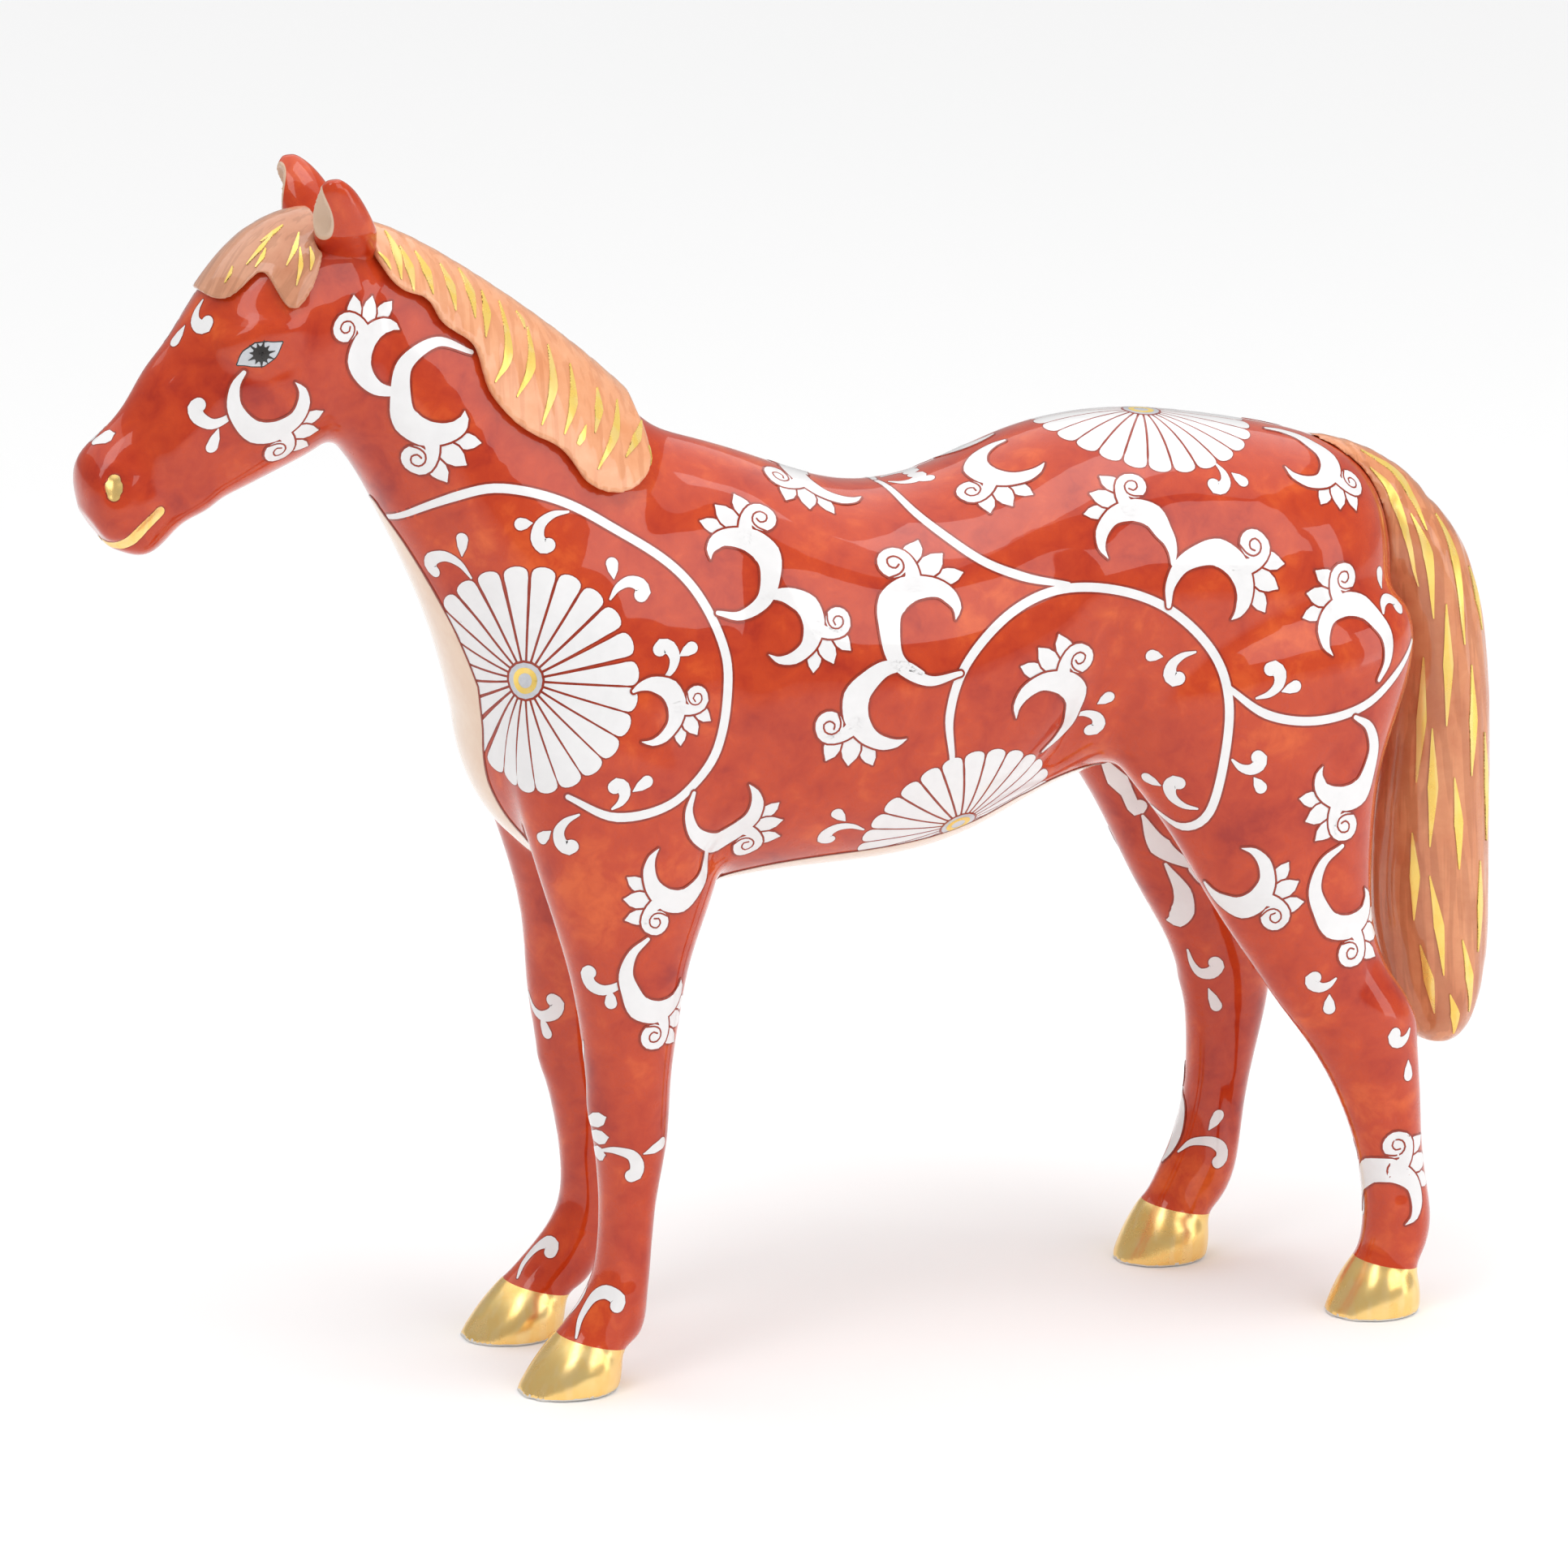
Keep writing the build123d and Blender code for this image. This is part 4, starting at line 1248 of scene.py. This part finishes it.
def paint_face(side_name, side):
    """Eye, nostril and mouth."""
    grey = Paint(side_name + "_eye_white", EYE_GREY)
    black = Paint(side_name + "_eye_lines", EYE_BLACK)
    brown = Paint(side_name + "_muzzle_lines", BROWN)
    gold = Paint(side_name + "_muzzle_gilding", GOLD, "gilding")
    eye = Motif(BODY, (-70.4, -8.3, 129.9), side)
    almond = [(-2.7, -1.2), (-1.6, -0.5), (-0.1, 0.0), (1.4, 0.6), (2.6, 1.35)]
    halves = [0.06, 0.95, 1.45, 1.0, 0.06]
    black.stroke(BODY, eye.lay(almond), eye.widths([h + 0.16 for h in halves]), 0, FINEST_STEP)
    grey.stroke(BODY, eye.lay(almond), eye.widths(halves), 2, FINEST_STEP)
    flat, wide = dot((0.1, 0.1), 0.95)
    black.stroke(BODY, eye.lay(flat), eye.widths(wide), 4)
    for n in range(LASHES):
        angle, reach = 360 / LASHES * n + 10, 1.7 - 0.35 * (n % 2)
        flat = [(x + 0.1, y + 0.1) for x, y in polar((angle, 0.3), (angle, 0.95), (angle, reach))]
        black.stroke(BODY, eye.lay(flat), eye.widths([0.24, 0.17, 0.03]), 5, FINEST_STEP)
    nostril = Motif(BODY, (-87.4, -5.0, 114.5), side)
    shape = nostril.lay([(0.1, 0.8), (0.05, 0.4), (0, 0), (-0.05, -0.4), (-0.1, -0.8)])
    brown.stroke(BODY, shape, nostril.widths([1.0, 1.25, 1.3, 1.2, 0.95]), 0, FINEST_STEP)
    gold.stroke(BODY, shape, nostril.widths([0.88, 1.1, 1.15, 1.05, 0.82]), 2, FINEST_STEP)
    mouth = [(-89.0, -0.8, 106.4), (-86.8, -3.8, 106.9), (-84.4, -5.0, 109.0), (-81.9, -4.9, 111.0)]
    line = [BODY.nearest(Vector((x, y * -side, z)) * MM)[0] for x, y, z in mouth]
    brown.stroke(BODY, line, [w * MM for w in (0.4, 0.8, 0.95, 0.9)], 0, FINE_STEP)
    gold.stroke(BODY, line, [w * MM for w in (0.3, 0.68, 0.8, 0.75)], 2, FINE_STEP)
    for paint in (grey, black, brown, gold):
        paint.dry()


# Gold strokes in the hair, each from its root to its end, in side view
MANE_STROKES = [
    ((-56.0, 143.2), (-53.8, 138.6)),
    ((-53.2, 142.4), (-52.6, 137.4)),
    ((-51.9, 140.8), (-51.2, 136.0)),
    ((-49.9, 140.0), (-48.7, 135.4)),
    ((-46.8, 138.3), (-46.0, 133.3)),
    ((-44.2, 137.4), (-43.5, 132.2)),
    ((-41.8, 134.8), (-42.5, 130.0)),
    ((-39.6, 133.4), (-39.8, 127.8), (-42.0, 124.9)),
    ((-37.4, 132.0), (-36.8, 130.2)),
    ((-36.4, 130.2), (-37.0, 126.1), (-39.4, 123.0)),
    ((-34.0, 128.0), (-34.4, 123.6), (-36.6, 119.6)),
    ((-31.4, 125.6), (-32.0, 121.6), (-33.8, 118.3)),
    ((-28.2, 122.6), (-28.6, 120.4), (-29.7, 118.0)),
    ((-25.6, 120.9), (-27.0, 117.5), (-30.0, 114.0)),
    ((-30.8, 118.9), (-33.4, 115.3)),
    ((-22.6, 118.2), (-26.0, 114.9)),
    ((-21.4, 116.6), (-22.6, 113.5)),
]
FORELOCK_STROKES = [
    ((-67.4, 143.1), (-70.9, 140.0)),
    ((-68.6, 141.7), (-70.1, 139.8)),
    ((-72.3, 139.6), (-73.4, 137.9)),
    ((-64.5, 143.3), (-66.7, 140.0)),
    ((-64.8, 141.8), (-65.9, 137.8)),
    ((-63.6, 141.8), (-64.0, 139.4)),
    ((-66.0, 144.0), (-68.8, 142.4)),
]
TAIL_STROKES = [
    ((72.5, 107.4), (77.5, 103.7), (80.0, 97.5)),
    ((73.0, 105.5), (76.0, 101.5), (79.0, 90.5)),
    ((78.0, 99.6), (80.0, 94.5), (81.0, 86.3)),
    ((82.0, 99.0), (84.0, 93.4), (85.0, 82.8)),
    ((82.5, 88.0), (82.5, 72.7)),
    ((86.0, 80.0), (86.0, 66.0)),
    ((80.0, 81.2), (79.0, 65.5)),
    ((80.8, 72.3), (80.4, 57.4)),
    ((83.5, 66.0), (84.2, 54.3)),
    ((88.3, 71.0), (89.0, 57.0)),
    ((78.5, 59.0), (78.7, 47.9)),
    ((80.4, 53.6), (82.4, 40.7)),
    ((79.5, 44.6), (81.7, 35.6)),
    ((84.8, 45.0), (86.6, 35.2)),
    ((83.4, 38.0), (84.8, 32.4)),
    ((87.6, 54.7), (87.4, 43.1)),
    ((86.6, 92.0), (88.2, 84.0)),
]


SLENDER = 0.11  # a hair stroke's half width is at most this share of its length
HAIR_TIP = 0.08  # half width of its ends
HAIR_BEND = 0.25  # how far the middle of a two-point stroke moves back
HAIR_OFF, HAIR_REACH = 9, 20  # a hair stroke's aim starts this far from the middle, and reaches this far
HAIR_COAT = 8  # gold stands clear of the combed grooves


def gold_hair(name, surface, strokes, span, wide):
    """Tapered gold strokes in one surface's hair, from this side or both."""
    gold = Paint(name, BRIGHT_GOLD, "gilding")
    for side in span:
        for corners in strokes:
            way = Vector((0, side, 0))
            line = []
            for x, z in corners:
                aim = Vector((x, HAIR_OFF * side, z)) * MM
                line.append(surface.seen_along(aim, way, HAIR_REACH * MM))
            if len(line) == 2:
                middle = surface.nearest((line[0] + line[1]) / 2 + Vector((HAIR_BEND * MM, 0, 0)))[0]
                line.insert(1, middle)
            half = min(wide * MM, SLENDER * (line[-1] - line[0]).length)
            halves = [HAIR_TIP * MM] + [half] * (len(line) - 2) + [HAIR_TIP * MM]
            gold.stroke(surface, line, halves, HAIR_COAT, FINE_STEP)
    gold.dry()


for side_name, side in (("left", LEFT), ("right", RIGHT)):
    paint_side(side_name, side)
    paint_face(side_name, side)
paint_middle()
gold_hair("mane_gold_strokes", MANE, MANE_STROKES, [LEFT], 0.6)
gold_hair("forelock_gold_strokes", FORELOCK, FORELOCK_STROKES, [LEFT], 0.3)
gold_hair("tail_gold_strokes", TAIL, TAIL_STROKES, [LEFT, RIGHT], 0.66)
bpy.data.objects.remove(SKIN)

# ---------------------------------------------------------------- floor, light and camera


def build_floor():
    bpy.ops.mesh.primitive_plane_add(size=9.0, location=(0, 0, -0.00002))
    floor = bpy.context.active_object
    floor.name = "floor"
    finish = Finish("floor_white", roughness=0.9, coat=0.0)
    set_sockets(finish.shader, Base_Color=(0.98, 0.98, 0.98, 1.0))
    floor.data.materials.append(finish.material)


def build_world():
    world = bpy.data.worlds.new("studio")
    world.use_nodes = True
    background = world.node_tree.nodes["Background"]
    set_sockets(background, Color=(1.0, 1.0, 1.0, 1.0), Strength=0.4)
    bpy.context.scene.world = world


def softbox(name, place, size, power):
    """A rectangular area light aimed at the middle of the horse."""
    light = bpy.data.lights.new(name, "AREA")
    light.shape = "RECTANGLE"
    light.size, light.size_y = (s * MM for s in size)
    light.energy = power
    lamp = bpy.data.objects.new(name, light)
    bpy.context.scene.collection.objects.link(lamp)
    lamp.location = Vector(place) * MM
    aim = Vector((0, 0, 75)) * MM - lamp.location
    lamp.rotation_euler = aim.to_track_quat("-Z", "Y").to_euler()


def build_camera():
    turn, rise, distance = radians(-19.5), radians(14.0), 1000 * MM
    target = Vector((-2.5, 0, 70.5)) * MM
    back = Vector((sin(turn) * cos(rise), -cos(turn) * cos(rise), sin(rise)))
    lens = bpy.data.cameras.new("camera")
    lens.sensor_width, lens.lens = 36.0, 187.8
    lens.clip_start, lens.clip_end = 0.01, 20.0
    camera = bpy.data.objects.new("camera", lens)
    bpy.context.scene.collection.objects.link(camera)
    camera.location = target + back * distance
    camera.rotation_euler = (-back).to_track_quat("-Z", "Y").to_euler()
    bpy.context.scene.camera = camera


build_floor()
build_world()
softbox("ceiling_panel", (0, 600, 3000), (6000, 6000), 105.0)
softbox("key_softbox", (420, -720, 560), (620, 440), 1.7)
softbox("left_softbox", (-430, -330, 640), (260, 340), 0.7)
softbox("top_softbox", (120, -150, 700), (420, 260), 0.8)
softbox("right_softbox", (640, -380, 200), (180, 420), 0.5)
build_camera()
bpy.context.scene.view_settings.view_transform = "Standard"
